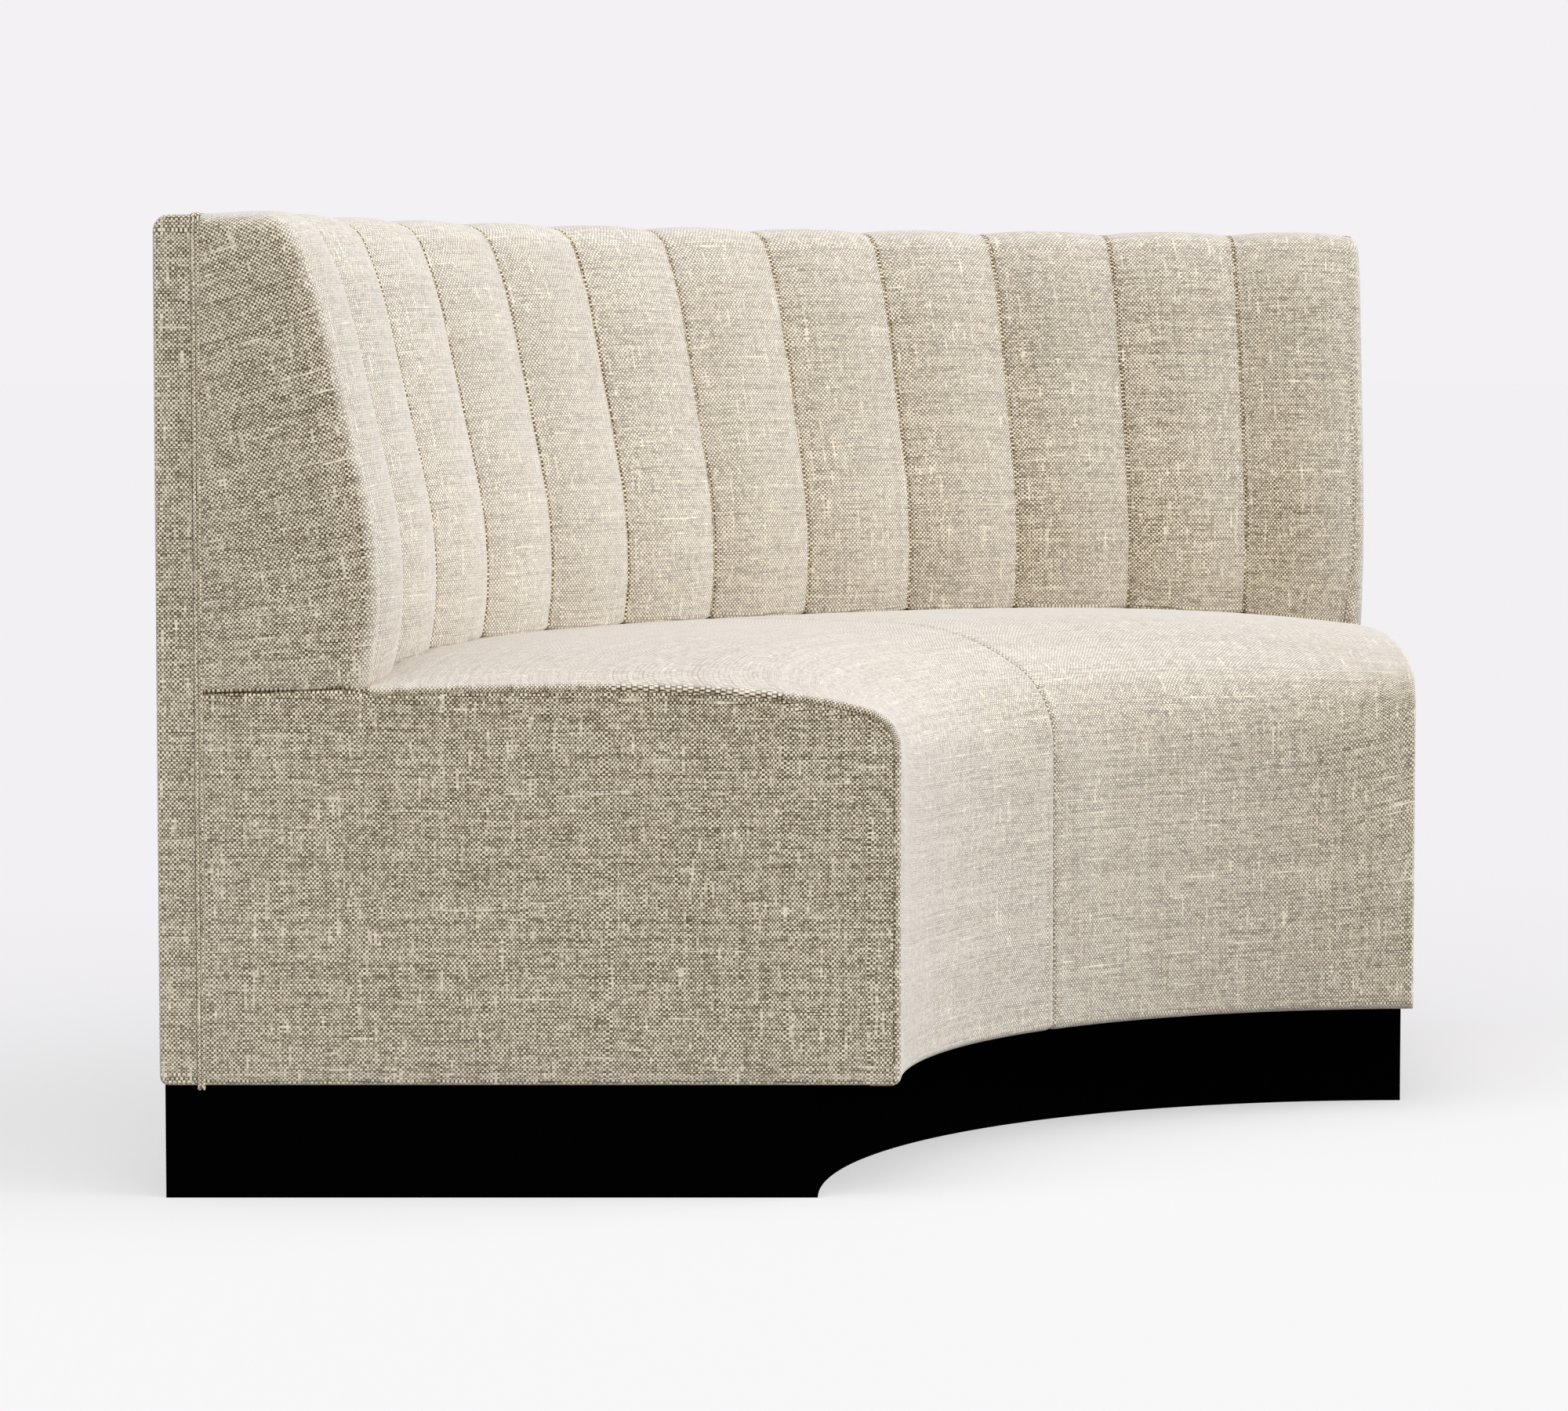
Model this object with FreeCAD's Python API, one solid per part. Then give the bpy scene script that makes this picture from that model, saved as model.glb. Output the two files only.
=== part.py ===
import FreeCAD, Part
import math
import os
from FreeCAD import Vector

# A quarter-circle upholstered banquette with a channelled back, in millimetres.
# +Z is up, the sitter faces -Y and the bench is the same on both sides of X = 0.
# Most pieces are drawn in a plane through the axis of the arc, as radius and height,
# and are placed by an angle measured from the middle of the bench, positive towards +X.

# Overall form
ARC_SPAN = 90.0
HALF_SPAN = ARC_SPAN / 2
OVERALL_HEIGHT = 914.0
OVERALL_DEPTH = 690.6
OUTER_RADIUS = 1233.0
SEAT_FRONT_RADIUS = OUTER_RADIUS - OVERALL_DEPTH
SEAT_HEIGHT = 481.0

# Fabric, padding and the small gaps between pieces
COVER = 2.0
EASE = 0.3
CLOSE = 0.001
FLAT_SHARE = 1.02
END_PADDING = 8.0
END_COVER_DEPTH = 8.3
END_EDGE_ROUND = 4.0
END_EDGE_ANGLES = (0.0, 45.0, 90.0)
HEM_BEVEL = 8.0
SEAM_GAP = 0.3

# Plinth
PLINTH_HEIGHT = 106.0
PLINTH_FRONT_SETBACK = 77.6
PLINTH_REAR_SETBACK = 5.0
PLINTH_END_SETBACK = 4.0
PLINTH_BOARD = 18.0
PLINTH_BLOCK = 60.0
PLINTH_BEARER_DEPTH = 70.0
PLINTH_BEARER_SHARES = (-0.5, 0.0, 0.5)

# Seat box
BASE_BOARD = 15.0
FRONT_PADDING = 20.6
FRONT_PANEL = 9.0
END_FRAME = 18.0
END_FRAME_INSET = 3.0
SEAT_FOAM_DEPTH = 101.0
SEAT_RAIL_HEIGHT = 40.0
SEAT_RAIL_DEPTH = 50.0
SEAT_RIB = 18.0
SEAT_RIB_SCOOP = 45.0
SEAT_RIB_SHARES = (-0.5, 0.0, 0.5)
CLEAT_DEPTH = 36.0

# Webbing under the seat foam
WEB_WIDTH = 50.0
WEB_THICK = 1.5
WEB_COUNT = 11
WEB_RING_SHARES = (0.25, 0.5, 0.75)
WEB_RING_LIFT = 1.8
WEB_SLOPE = 12.0

# Seat cushion: the first value of each pair is at the ends, the second in the middle
SEAT_RISE = 26.5
SEAT_TOP = (SEAT_HEIGHT, SEAT_HEIGHT + SEAT_RISE)
SEAT_FRONT_CROWN = (0.0, 4.4)
ROLL_RADIUS = (57.0, 89.0)
ROLL_ANGLE = (22.0, 27.5)
SHOULDER_RADIUS = (280.0, 320.0)
SHOULDER_ANGLE = (10.0, 10.0)
CROWN_RADIUS = (800.0, 400.0)
REAR_CROWN_RADIUS = (10400.0, 6640.0)
CROWN_REACH = 30.0
CROWN_POWER = 2.4
SEAT_REAR_DROP = 9.3
SEAT_REAR_HEIGHT = SEAT_HEIGHT - SEAT_REAR_DROP
SEAT_SECTIONS = 6
SEAT_CLEARANCE = 1.2

# Back: valley line of the channels, from the seat up to the top
CHANNELS = 12
CHANNEL_CROWN = 11.0
CHANNEL_FOAM = 20.0
BACK_DEPTH = 206.5
BACK_FRONT_RADIUS = OUTER_RADIUS - BACK_DEPTH
JUNCTION_DEPTH = 8.5
JUNCTION_RADIUS = BACK_FRONT_RADIUS + JUNCTION_DEPTH
BACK_HEIGHT = OVERALL_HEIGHT - SEAT_REAR_HEIGHT
LUMBAR_SHARE = 0.211
LUMBAR_HEIGHT = SEAT_REAR_HEIGHT + BACK_HEIGHT * LUMBAR_SHARE
TUCK_RADIUS = 15.0
TUCK_LEAN = 63.5
LOWER_LEAN = 13.5
LOWER_ARC_SHARE = 0.735
LUMBAR_ARC_SHARE = 0.986
SHOULDER_ARC_SHARE = 0.88
LOWER_ARC = BACK_HEIGHT * LOWER_ARC_SHARE
LUMBAR_ARC = BACK_HEIGHT * LUMBAR_ARC_SHARE
SHOULDER_ARC = BACK_HEIGHT * SHOULDER_ARC_SHARE
# A taller back leans less, so that its top stays as far forward
LEAN_RUN = 100.4
SHOULDER_RUN = 193.0
LEAN = math.degrees(LEAN_RUN / BACK_HEIGHT)
SHOULDER_LEAN = math.degrees(SHOULDER_RUN / BACK_HEIGHT)
TOP_ROUND = 34.0
# Shares of the channel crown at the stations of the valley line, bottom to top
CROWN_SHARES = (0.75, 0.95, 1.0, 1.0, 1.0, 0.92, 0.65, 0.4, 0.27, 0.2)
TUCK_STATIONS = 1
SHOULDER_SHARE = 0.45
BLOCK_OVERRUN = 1.0

# Frame of the back
SPINE = 18.0
OUTER_SLAB = 35.0
SLAB_TOP_ROUND = 12.0
SLAB_WADDING = 4.0
BACK_RIB = 15.0
BACK_RIB_SHARES = (-2 / 3, -1 / 3, 0.0, 1 / 3, 2 / 3)
BACK_RAIL_HEIGHT = 45.0
BACK_BOTTOM_RAIL_DEPTH = 45.0
BACK_TOP_RAIL_DEPTH = 24.0
CORE_GAP = 1.0

# Double welt
WELT_CORD = 4.0
WELT_LOBE_SHARE = 1.2
WELT_FACET_ANGLES = (0.0, 60.0, 120.0)
WELT_BEND = 3.0
WELT_OVERHANG = 4.5
WELT_GROOVE = 8.0

# Bolts
BOLT_RADIUS = 4.0
BOLT_HEAD_RADIUS = 9.0
BOLT_HEAD = 4.0
BOLT_HEAD_SIDES = 6
BASE_BOLT_LENGTH = 55.0

# Values worked out from the ones above
PLINTH_FRONT_RADIUS = SEAT_FRONT_RADIUS + PLINTH_FRONT_SETBACK
FRONT_PANEL_RADIUS = SEAT_FRONT_RADIUS + FRONT_PADDING
SEAT_RAIL_TOP = SEAT_HEIGHT - SEAT_FOAM_DEPTH
SLAB_FRONT_RADIUS = OUTER_RADIUS - OUTER_SLAB
SPINE_FRONT_RADIUS = SLAB_FRONT_RADIUS - SPINE
COVER_REAR_RADIUS = SLAB_FRONT_RADIUS - WELT_GROOVE
SPINE_TOP = OVERALL_HEIGHT - COVER - EASE
FRAME_SETBACK = COVER + EASE + END_PADDING + EASE
FRAME_INNER_SETBACK = FRAME_SETBACK + END_FRAME
PLINTH_REAR_RADIUS = OUTER_RADIUS - PLINTH_REAR_SETBACK
FRAME_BOTTOM = PLINTH_HEIGHT + COVER + EASE
BASE_TOP = PLINTH_HEIGHT + BASE_BOARD
PANEL_REAR_RADIUS = FRONT_PANEL_RADIUS + FRONT_PANEL
WEB_TOP = SEAT_RAIL_TOP + WEB_THICK
FOAM_BOTTOM = WEB_TOP + WEB_RING_LIFT + EASE
CHANNEL_ANGLE = ARC_SPAN / CHANNELS
CORE_INSET = COVER + EASE + CHANNEL_FOAM + EASE
CORE_TOP = OVERALL_HEIGHT - CORE_INSET
WELT_SEAT_INSET = COVER + EASE / 2
WELT_SEAT_HEIGHT = SPINE_TOP + EASE / 2
CORNER_CUT = END_EDGE_ROUND * (math.sqrt(2) - 1)
FRONT_CORNER_Y = SEAT_FRONT_RADIUS * math.cos(math.radians(HALF_SPAN)) + CORNER_CUT
ARC_CENTRE_Y = -(OUTER_RADIUS + FRONT_CORNER_Y) / 2
ARC_AXIS = Vector(0, ARC_CENTRE_Y, 0)


# Places

def unit(angle):
    """Directions at an angle from the middle: away from the arc's axis, and sideways."""
    a = math.radians(angle)
    return Vector(math.sin(a), math.cos(a), 0), Vector(math.cos(a), -math.sin(a), 0)


def place(point, angle, setback=0.0):
    """A (radius, height) point in the plane at an angle, moved back from an end by a setback."""
    outward, sideways = unit(angle)
    radius, height = point
    along = math.sqrt(radius * radius - setback * setback)
    inward = -1.0 if angle > 0 else 1.0
    return ARC_AXIS + outward * along + sideways * (setback * inward) + Vector(0, 0, height)


def mix(pair, share):
    """The value between a pair's first, at the ends, and its second, in the middle."""
    return pair[0] + (pair[1] - pair[0]) * share


def angle_of(setback, radius):
    """The angle from an end at which a plane set back from it meets a radius."""
    return math.degrees(math.asin(setback / radius))


# Outlines in radius and height

class Outline:
    """An outline drawn edge by edge; each edge is its start, its middle if it is an arc, and its end."""

    def __init__(self, start, heading):
        self.point = start
        self.heading = heading
        self.edges = []

    def line_to(self, point):
        self.edges.append((self.point, None, point))
        self.point = point
        return self

    def line(self, length):
        a = math.radians(self.heading)
        r, z = self.point
        return self.line_to((r + length * math.cos(a), z + length * math.sin(a)))

    def turn(self, radius, degrees):
        """An arc that turns left by some degrees, or right where they are negative."""
        side = 1 if degrees > 0 else -1
        a = math.radians(self.heading)
        centre = (
            self.point[0] - side * radius * math.sin(a),
            self.point[1] + side * radius * math.cos(a),
        )
        stops = []
        for part in (0.5, 1.0):
            b = math.radians(self.heading + degrees * part)
            stops.append((
                centre[0] + side * radius * math.sin(b),
                centre[1] - side * radius * math.cos(b),
            ))
        self.edges.append((self.point, stops[0], stops[1]))
        self.point = stops[1]
        self.heading += degrees
        return self

    def bevel(self, size, degrees):
        """A straight cut across the corner that a turn of that radius would round."""
        self.turn(size, degrees)
        start, _, end = self.edges.pop()
        self.edges.append((start, None, end))
        return self

    def close(self):
        return self.line_to(self.edges[0][0])


def backwards(edges):
    return [(end, middle, start) for start, middle, end in reversed(edges)]


def flattened(edges):
    """The same edges with each arc replaced by straight edges, two where it turns far."""
    flat = []
    for start, middle, end in edges:
        middle = middle or start
        detour = math.dist(start, middle) + math.dist(middle, end)
        if detour > FLAT_SHARE * math.dist(start, end):
            flat += [(start, None, middle), (middle, None, end)]
        else:
            flat.append((start, None, end))
    return flat


def ring_of(edges):
    """Edges that run on from each other, with straight edges where one ends away from the next."""
    closed = []
    for i, edge in enumerate(edges):
        closed.append(edge)
        following = edges[(i + 1) % len(edges)][0]
        if math.dist(edge[2], following) > CLOSE:
            closed.append((edge[2], None, following))
    return closed


def rectangle(r0, r1, z0, z1):
    return ring_of([((r0, z0), None, (r1, z0)), ((r1, z1), None, (r0, z1))])


def wire(edges, angle, setback=0.0):
    made = []
    for start, middle, end in edges:
        a, b = place(start, angle, setback), place(end, angle, setback)
        if middle is None:
            made.append(Part.makeLine(a, b))
        else:
            made.append(Part.Arc(a, place(middle, angle, setback), b).toShape())
    return Part.Wire(made)


def swept(edges, start=-HALF_SPAN, end=HALF_SPAN):
    """The outline turned about the arc's axis between two angles."""
    face = Part.Face(wire(edges, end))
    return face.revolve(ARC_AXIS, Vector(0, 0, 1), end - start)


def plate(edges, angle, thickness, setback=None):
    """A flat plate with the outline: centred on an angle, or set back from the end there."""
    _, sideways = unit(angle)
    if setback is None:
        flat = Part.Face(wire(edges, angle))
        flat.translate(sideways * (-thickness / 2))
        return flat.extrude(sideways * thickness)
    inward = -1.0 if angle > 0 else 1.0
    flat = Part.Face(wire(edges, angle))
    flat.translate(sideways * (setback * inward))
    return flat.extrude(sideways * (thickness * inward))


def beyond_end(side, setback):
    """A block that holds everything between an end of the arc and a setback from it."""
    reach = 2 * OUTER_RADIUS
    outline = rectangle(0, reach, -reach, reach)
    return plate(outline, side * HALF_SPAN, reach, setback - reach)


def trimmed(shape, setback):
    """The shape cut back from both ends of the arc."""
    for side in (-1, 1):
        shape = shape.cut(beyond_end(side, setback))
    return shape


def board(r0, r1, z0, z1, setback):
    return trimmed(swept(rectangle(r0, r1, z0, z1)), setback)


def mirrored(shape):
    return shape.mirror(Vector(0, 0, 0), Vector(1, 0, 0))


def group(shapes):
    solids = []
    for shape in shapes:
        solids.extend(shape.Solids)
    return Part.makeCompound(solids)


# Plinth

def plinth_front_board():
    rear = PLINTH_FRONT_RADIUS + PLINTH_BOARD
    return board(PLINTH_FRONT_RADIUS, rear, 0, PLINTH_HEIGHT, PLINTH_END_SETBACK + PLINTH_BOARD)


def plinth_rear_board():
    front = PLINTH_REAR_RADIUS - PLINTH_BOARD
    return board(front, PLINTH_REAR_RADIUS, 0, PLINTH_HEIGHT, PLINTH_END_SETBACK + PLINTH_BOARD)


def plinth_end_board(side):
    slab = plate(
        rectangle(PLINTH_FRONT_RADIUS - PLINTH_BOARD, OUTER_RADIUS, 0, PLINTH_HEIGHT),
        side * HALF_SPAN, PLINTH_BOARD, PLINTH_END_SETBACK,
    )
    return slab.common(swept(rectangle(PLINTH_FRONT_RADIUS, PLINTH_REAR_RADIUS, 0, PLINTH_HEIGHT)))


def plinth_bearers():
    front = PLINTH_FRONT_RADIUS + PLINTH_BOARD
    rear = PLINTH_REAR_RADIUS - PLINTH_BOARD
    inside = swept(rectangle(front, rear, 0, PLINTH_HEIGHT))
    bottom = PLINTH_HEIGHT - PLINTH_BEARER_DEPTH
    outline = rectangle(front - PLINTH_BOARD, OUTER_RADIUS, bottom, PLINTH_HEIGHT)
    return group(
        plate(outline, share * HALF_SPAN, PLINTH_BOARD).common(inside)
        for share in PLINTH_BEARER_SHARES
    )


def plinth_block_radii():
    """Radii between which the blocks behind the front board and before the rear board lie."""
    front = PLINTH_FRONT_RADIUS + PLINTH_BOARD
    rear = PLINTH_REAR_RADIUS - PLINTH_BOARD
    return ((front, front + PLINTH_BLOCK), (rear - PLINTH_BLOCK, rear))


def plinth_corner_blocks():
    setback = PLINTH_END_SETBACK + PLINTH_BOARD
    blocks = []
    for side in (-1, 1):
        for r0, r1 in plinth_block_radii():
            outline = rectangle(r0 - PLINTH_BOARD, r1 + PLINTH_BOARD, 0, PLINTH_HEIGHT)
            block = plate(outline, side * HALF_SPAN, PLINTH_BLOCK, setback)
            block = block.common(swept(rectangle(r0, r1, 0, PLINTH_HEIGHT)))
            blocks.append(block.cut(base_bolt_holes(0)))
    return group(blocks)


# Bolts that hold the seat box on the plinth

def base_bolt_places():
    """Places on top of the base board, in the middle of its lap over each corner block."""
    setback = PLINTH_END_SETBACK + PLINTH_BOARD + PLINTH_BLOCK / 2
    return [
        place(((r0 + min(r1, SPINE_FRONT_RADIUS)) / 2, BASE_TOP), side * HALF_SPAN, setback)
        for side in (-1, 1)
        for r0, r1 in plinth_block_radii()
    ]


def base_bolt_holes(ease):
    down = Vector(0, 0, -1)
    return Part.makeCompound([
        Part.makeCylinder(BOLT_RADIUS + ease, BASE_BOLT_LENGTH, at, down) for at in base_bolt_places()
    ])


def base_bolts():
    """Bolts with six-sided heads that stand on the base board."""
    bolts = []
    for at in base_bolt_places():
        shank = Part.makeCylinder(BOLT_RADIUS, BASE_BOLT_LENGTH, at, Vector(0, 0, -1))
        corners = []
        for i in range(BOLT_HEAD_SIDES):
            a = 2 * math.pi * i / BOLT_HEAD_SIDES
            corners.append(at + Vector(math.cos(a), math.sin(a), 0) * BOLT_HEAD_RADIUS)
        head = Part.Face(Part.makePolygon(corners + corners[:1])).extrude(Vector(0, 0, BOLT_HEAD))
        bolts.append(shank.fuse(head).removeSplitter())
    return group(bolts)


# Seat box

def base_board():
    inside = board(PANEL_REAR_RADIUS, SPINE_FRONT_RADIUS, PLINTH_HEIGHT, BASE_TOP, FRAME_INNER_SETBACK)
    return inside.cut(base_bolt_holes(EASE))


def seat_front_panel():
    return board(FRONT_PANEL_RADIUS, PANEL_REAR_RADIUS, FRAME_BOTTOM, SEAT_RAIL_TOP, FRAME_INNER_SETBACK)


def seat_front_rail():
    r1 = PANEL_REAR_RADIUS + SEAT_RAIL_DEPTH
    z0 = SEAT_RAIL_TOP - SEAT_RAIL_HEIGHT
    return board(PANEL_REAR_RADIUS, r1, z0, SEAT_RAIL_TOP, FRAME_INNER_SETBACK)


def seat_rear_rail():
    r0 = SPINE_FRONT_RADIUS - SEAT_RAIL_DEPTH
    z0 = SEAT_RAIL_TOP - SEAT_RAIL_HEIGHT
    return board(r0, SPINE_FRONT_RADIUS, z0, SEAT_RAIL_TOP, FRAME_INNER_SETBACK)


def seat_ribs():
    """Ribs that carry both rails, scooped between them so that the webbing can sink."""
    top = SEAT_RAIL_TOP - SEAT_RAIL_HEIGHT
    r0, r1 = PANEL_REAR_RADIUS, SPINE_FRONT_RADIUS
    scoop_start, scoop_end = r0 + SEAT_RAIL_DEPTH, r1 - SEAT_RAIL_DEPTH
    middle = (r0 + r1) / 2
    edges = ring_of([
        ((r0, BASE_TOP), None, (r1, BASE_TOP)),
        ((r1, top), None, (scoop_end, top)),
        ((scoop_end, top), (middle, top - SEAT_RIB_SCOOP), (scoop_start, top)),
        ((scoop_start, top), None, (r0, top)),
    ])
    inside = swept(rectangle(r0, r1, 0, OVERALL_HEIGHT))
    return group(
        plate(edges, share * HALF_SPAN, SEAT_RIB).common(inside) for share in SEAT_RIB_SHARES
    )


def seat_end_cleat(side):
    """A cleat on the inside of an end frame, level with the rails, for the ends of the ring webbing."""
    r0 = PANEL_REAR_RADIUS + SEAT_RAIL_DEPTH
    r1 = SPINE_FRONT_RADIUS - SEAT_RAIL_DEPTH
    z0 = SEAT_RAIL_TOP - SEAT_RAIL_HEIGHT
    bar = plate(
        rectangle(r0 - CLEAT_DEPTH, r1 + CLEAT_DEPTH, z0, SEAT_RAIL_TOP),
        side * HALF_SPAN, CLEAT_DEPTH, FRAME_INNER_SETBACK,
    )
    return bar.common(swept(rectangle(r0, r1, z0, SEAT_RAIL_TOP)))


def crown_share(from_end):
    """How far the seat's crown has risen at an angle from the nearer end, from 0 to 1."""
    left = max(0.0, 1 - from_end / CROWN_REACH)
    return 1 - left ** CROWN_POWER


def seat_skin(share, inset, start_height=None, rear=SPINE_FRONT_RADIUS - EASE):
    """The seat's outside in section, from under its front edge to its rear, drawn in by an inset."""
    front = SEAT_FRONT_RADIUS - mix(SEAT_FRONT_CROWN, share) + inset
    roll, roll_angle = mix(ROLL_RADIUS, share), mix(ROLL_ANGLE, share)
    shoulder, shoulder_angle = mix(SHOULDER_RADIUS, share), mix(SHOULDER_ANGLE, share)
    crown, rear_crown = mix(CROWN_RADIUS, share), mix(REAR_CROWN_RADIUS, share)
    c1, c2 = math.cos(math.radians(roll_angle)), math.cos(math.radians(shoulder_angle))
    roll_start = mix(SEAT_TOP, share) - roll * c1 - shoulder * (c2 - c1) - crown * (1 - c2)
    if start_height is None:
        low = PLINTH_HEIGHT + inset
        skin = Outline((PANEL_REAR_RADIUS, low), 180.0)
        skin.line_to((front + HEM_BEVEL - inset, low))
        skin.bevel(HEM_BEVEL - inset, -90.0)
    else:
        skin = Outline((front, start_height), 90.0)
    skin.line_to((front, roll_start))
    skin.turn(roll - inset, roll_angle - 90.0)
    skin.turn(shoulder - inset, shoulder_angle - roll_angle)
    skin.turn(crown - inset, -shoulder_angle)
    rest = JUNCTION_RADIUS - skin.point[0]
    skin.turn(rear_crown - inset, -math.degrees(math.asin(rest / rear_crown)))
    skin.line_to((rear, SEAT_REAR_HEIGHT - inset))
    return skin.edges


def seat_end_outline(inset, rear=COVER_REAR_RADIUS - EASE):
    skin = seat_skin(0.0, inset, rear=rear - inset)
    low = PLINTH_HEIGHT + inset
    return ring_of(skin[1:] + [((rear - inset, low), None, (rear - inset - COVER, low))])


def seat_end_frame(side):
    rear = SPINE_FRONT_RADIUS - 2 * EASE
    skin = seat_skin(0.0, END_FRAME_INSET, FRAME_BOTTOM, rear)
    foot = [((rear, FRAME_BOTTOM), None, (rear - END_FRAME, FRAME_BOTTOM))]
    return plate(ring_of(skin + foot), side * HALF_SPAN, END_FRAME, FRAME_SETBACK)


def end_cover(outline_at, side):
    """A shallow fabric tray over an end: its face, and a rim that turns in over the edges."""
    _, sideways = unit(side * HALF_SPAN)
    rings = []
    for degrees in END_EDGE_ANGLES:
        a = math.radians(degrees)
        rings.append((END_EDGE_ROUND * (1 - math.sin(a)), END_EDGE_ROUND * (1 - math.cos(a))))
    rings.append((0.0, END_COVER_DEPTH))
    wires = []
    for inset, depth in rings:
        ring = wire(outline_at(inset), side * HALF_SPAN)
        ring.translate(sideways * (-side * depth))
        wires.append(ring)
    tray = Part.makeLoft(wires, True, True)
    return tray.cut(plate(outline_at(COVER), side * HALF_SPAN, END_COVER_DEPTH, COVER))


def end_padding(outline_at, side):
    return plate(outline_at(COVER + EASE), side * HALF_SPAN, END_PADDING, COVER + EASE)


def seat_stations(setback):
    """Angles and setbacks of the left half's sections, from the end to short of the middle."""
    inner = [(-HALF_SPAN * (1 - i / SEAT_SECTIONS), 0.0) for i in range(1, SEAT_SECTIONS)]
    return [(-HALF_SPAN, setback)] + inner


def station_share(station):
    angle, setback = station
    return crown_share(HALF_SPAN - abs(angle) + angle_of(setback, JUNCTION_RADIUS))


def seat_loft(section_at, stations):
    wires = [wire(ring_of(section_at(station_share(s))), s[0], s[1]) for s in stations]
    return Part.makeLoft(wires, True, True)


def seat_cover_left():
    """The left half of the seat's fabric, from under the front edge over the top to the back."""
    def band(share):
        return seat_skin(share, 0.0) + backwards(flattened(seat_skin(share, COVER)))
    middle = -math.degrees(SEAM_GAP / 2 / SEAT_FRONT_RADIUS)
    return seat_loft(band, seat_stations(END_COVER_DEPTH + EASE) + [(middle, 0.0)])


def across(stations):
    """The stations of the left half, the middle, and the same stations mirrored."""
    return stations + [(0.0, 0.0)] + [(-a, s) for a, s in reversed(stations)]


def seat_foam():
    def block(share):
        rear = SPINE_FRONT_RADIUS - EASE
        foot = [((rear, FOAM_BOTTOM), None, (rear - SPINE, FOAM_BOTTOM))]
        return flattened(seat_skin(share, COVER + EASE, FOAM_BOTTOM)) + foot
    return seat_loft(block, across(seat_stations(FRAME_INNER_SETBACK + EASE)))


def seat_front_foam():
    def sheet(share):
        front = SEAT_FRONT_RADIUS - mix(SEAT_FRONT_CROWN, share) + COVER + EASE
        return rectangle(front, FRONT_PANEL_RADIUS - EASE, FRAME_BOTTOM, FOAM_BOTTOM - EASE)
    return seat_loft(sheet, across(seat_stations(FRAME_INNER_SETBACK + EASE)))


# Webbing

def web_angles():
    setback = FRAME_INNER_SETBACK + CLEAT_DEPTH + WEB_WIDTH
    first = angle_of(setback, PANEL_REAR_RADIUS) - HALF_SPAN
    return [first - 2 * first * i / (WEB_COUNT - 1) for i in range(WEB_COUNT)]


def seat_webbing_radial():
    outline = rectangle(PANEL_REAR_RADIUS, SPINE_FRONT_RADIUS - EASE, SEAT_RAIL_TOP, WEB_TOP)
    return group(plate(outline, angle, WEB_WIDTH) for angle in web_angles())


def web_ring(radius, first_lift):
    """One strip along the seat, over and under the radial strips in turn, flat on the cleats."""
    reach = math.degrees((WEB_WIDTH / 2 + WEB_SLOPE) / radius)
    lift = first_lift
    stops = []
    for angle in web_angles():
        stops += [(angle - reach, lift), (angle + reach, lift)]
        lift = -lift
    for setback in (FRAME_INNER_SETBACK + CLEAT_DEPTH, FRAME_INNER_SETBACK + EASE):
        end = HALF_SPAN - angle_of(setback, radius)
        stops = [(-end, 0.0)] + stops + [(end, 0.0)]
    r0, r1 = radius - WEB_WIDTH / 2, radius + WEB_WIDTH / 2
    sections = [
        wire(rectangle(r0, r1, SEAT_RAIL_TOP + up, WEB_TOP + up), angle) for angle, up in stops
    ]
    return Part.makeLoft(sections, True, True)


def seat_webbing_rings():
    rings = []
    lift = WEB_RING_LIFT
    for share in WEB_RING_SHARES:
        radius = PANEL_REAR_RADIUS + (SPINE_FRONT_RADIUS - PANEL_REAR_RADIUS) * share
        rings.append(web_ring(radius, lift))
        lift = -lift
    return group(rings)


# Back frame

def junction_height(share):
    """The height of the seat where the back meets it."""
    return seat_skin(share, 0.0)[-1][0][1]


BACK_FRAME_BOTTOM = junction_height(1.0) + EASE


def back_straight():
    """Length of the straight run of the valley line that brings the top to its height."""
    lean, shoulder = math.radians(LEAN), math.radians(SHOULDER_LEAN)
    curved = LUMBAR_ARC * math.sin(lean)
    curved += SHOULDER_ARC * (math.sin(shoulder) - math.sin(lean))
    curved += TOP_ROUND * (1 - math.sin(shoulder))
    return (OVERALL_HEIGHT - LUMBAR_HEIGHT - curved) / math.cos(lean)


BACK_STRAIGHT = back_straight()


def spine_board():
    """The bent board between the seat and the back slab."""
    return board(SPINE_FRONT_RADIUS, SLAB_FRONT_RADIUS, PLINTH_HEIGHT, SPINE_TOP, FRAME_SETBACK)


def back_bottom_rail():
    r0 = SPINE_FRONT_RADIUS - BACK_BOTTOM_RAIL_DEPTH
    top = BACK_FRAME_BOTTOM + BACK_RAIL_HEIGHT
    return board(r0, SPINE_FRONT_RADIUS, BACK_FRAME_BOTTOM, top, FRAME_INNER_SETBACK)


def back_top_rail():
    r0 = SPINE_FRONT_RADIUS - BACK_TOP_RAIL_DEPTH
    bottom = CORE_TOP - BACK_RAIL_HEIGHT
    return board(r0, SPINE_FRONT_RADIUS, bottom, CORE_TOP, FRAME_INNER_SETBACK)


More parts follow.
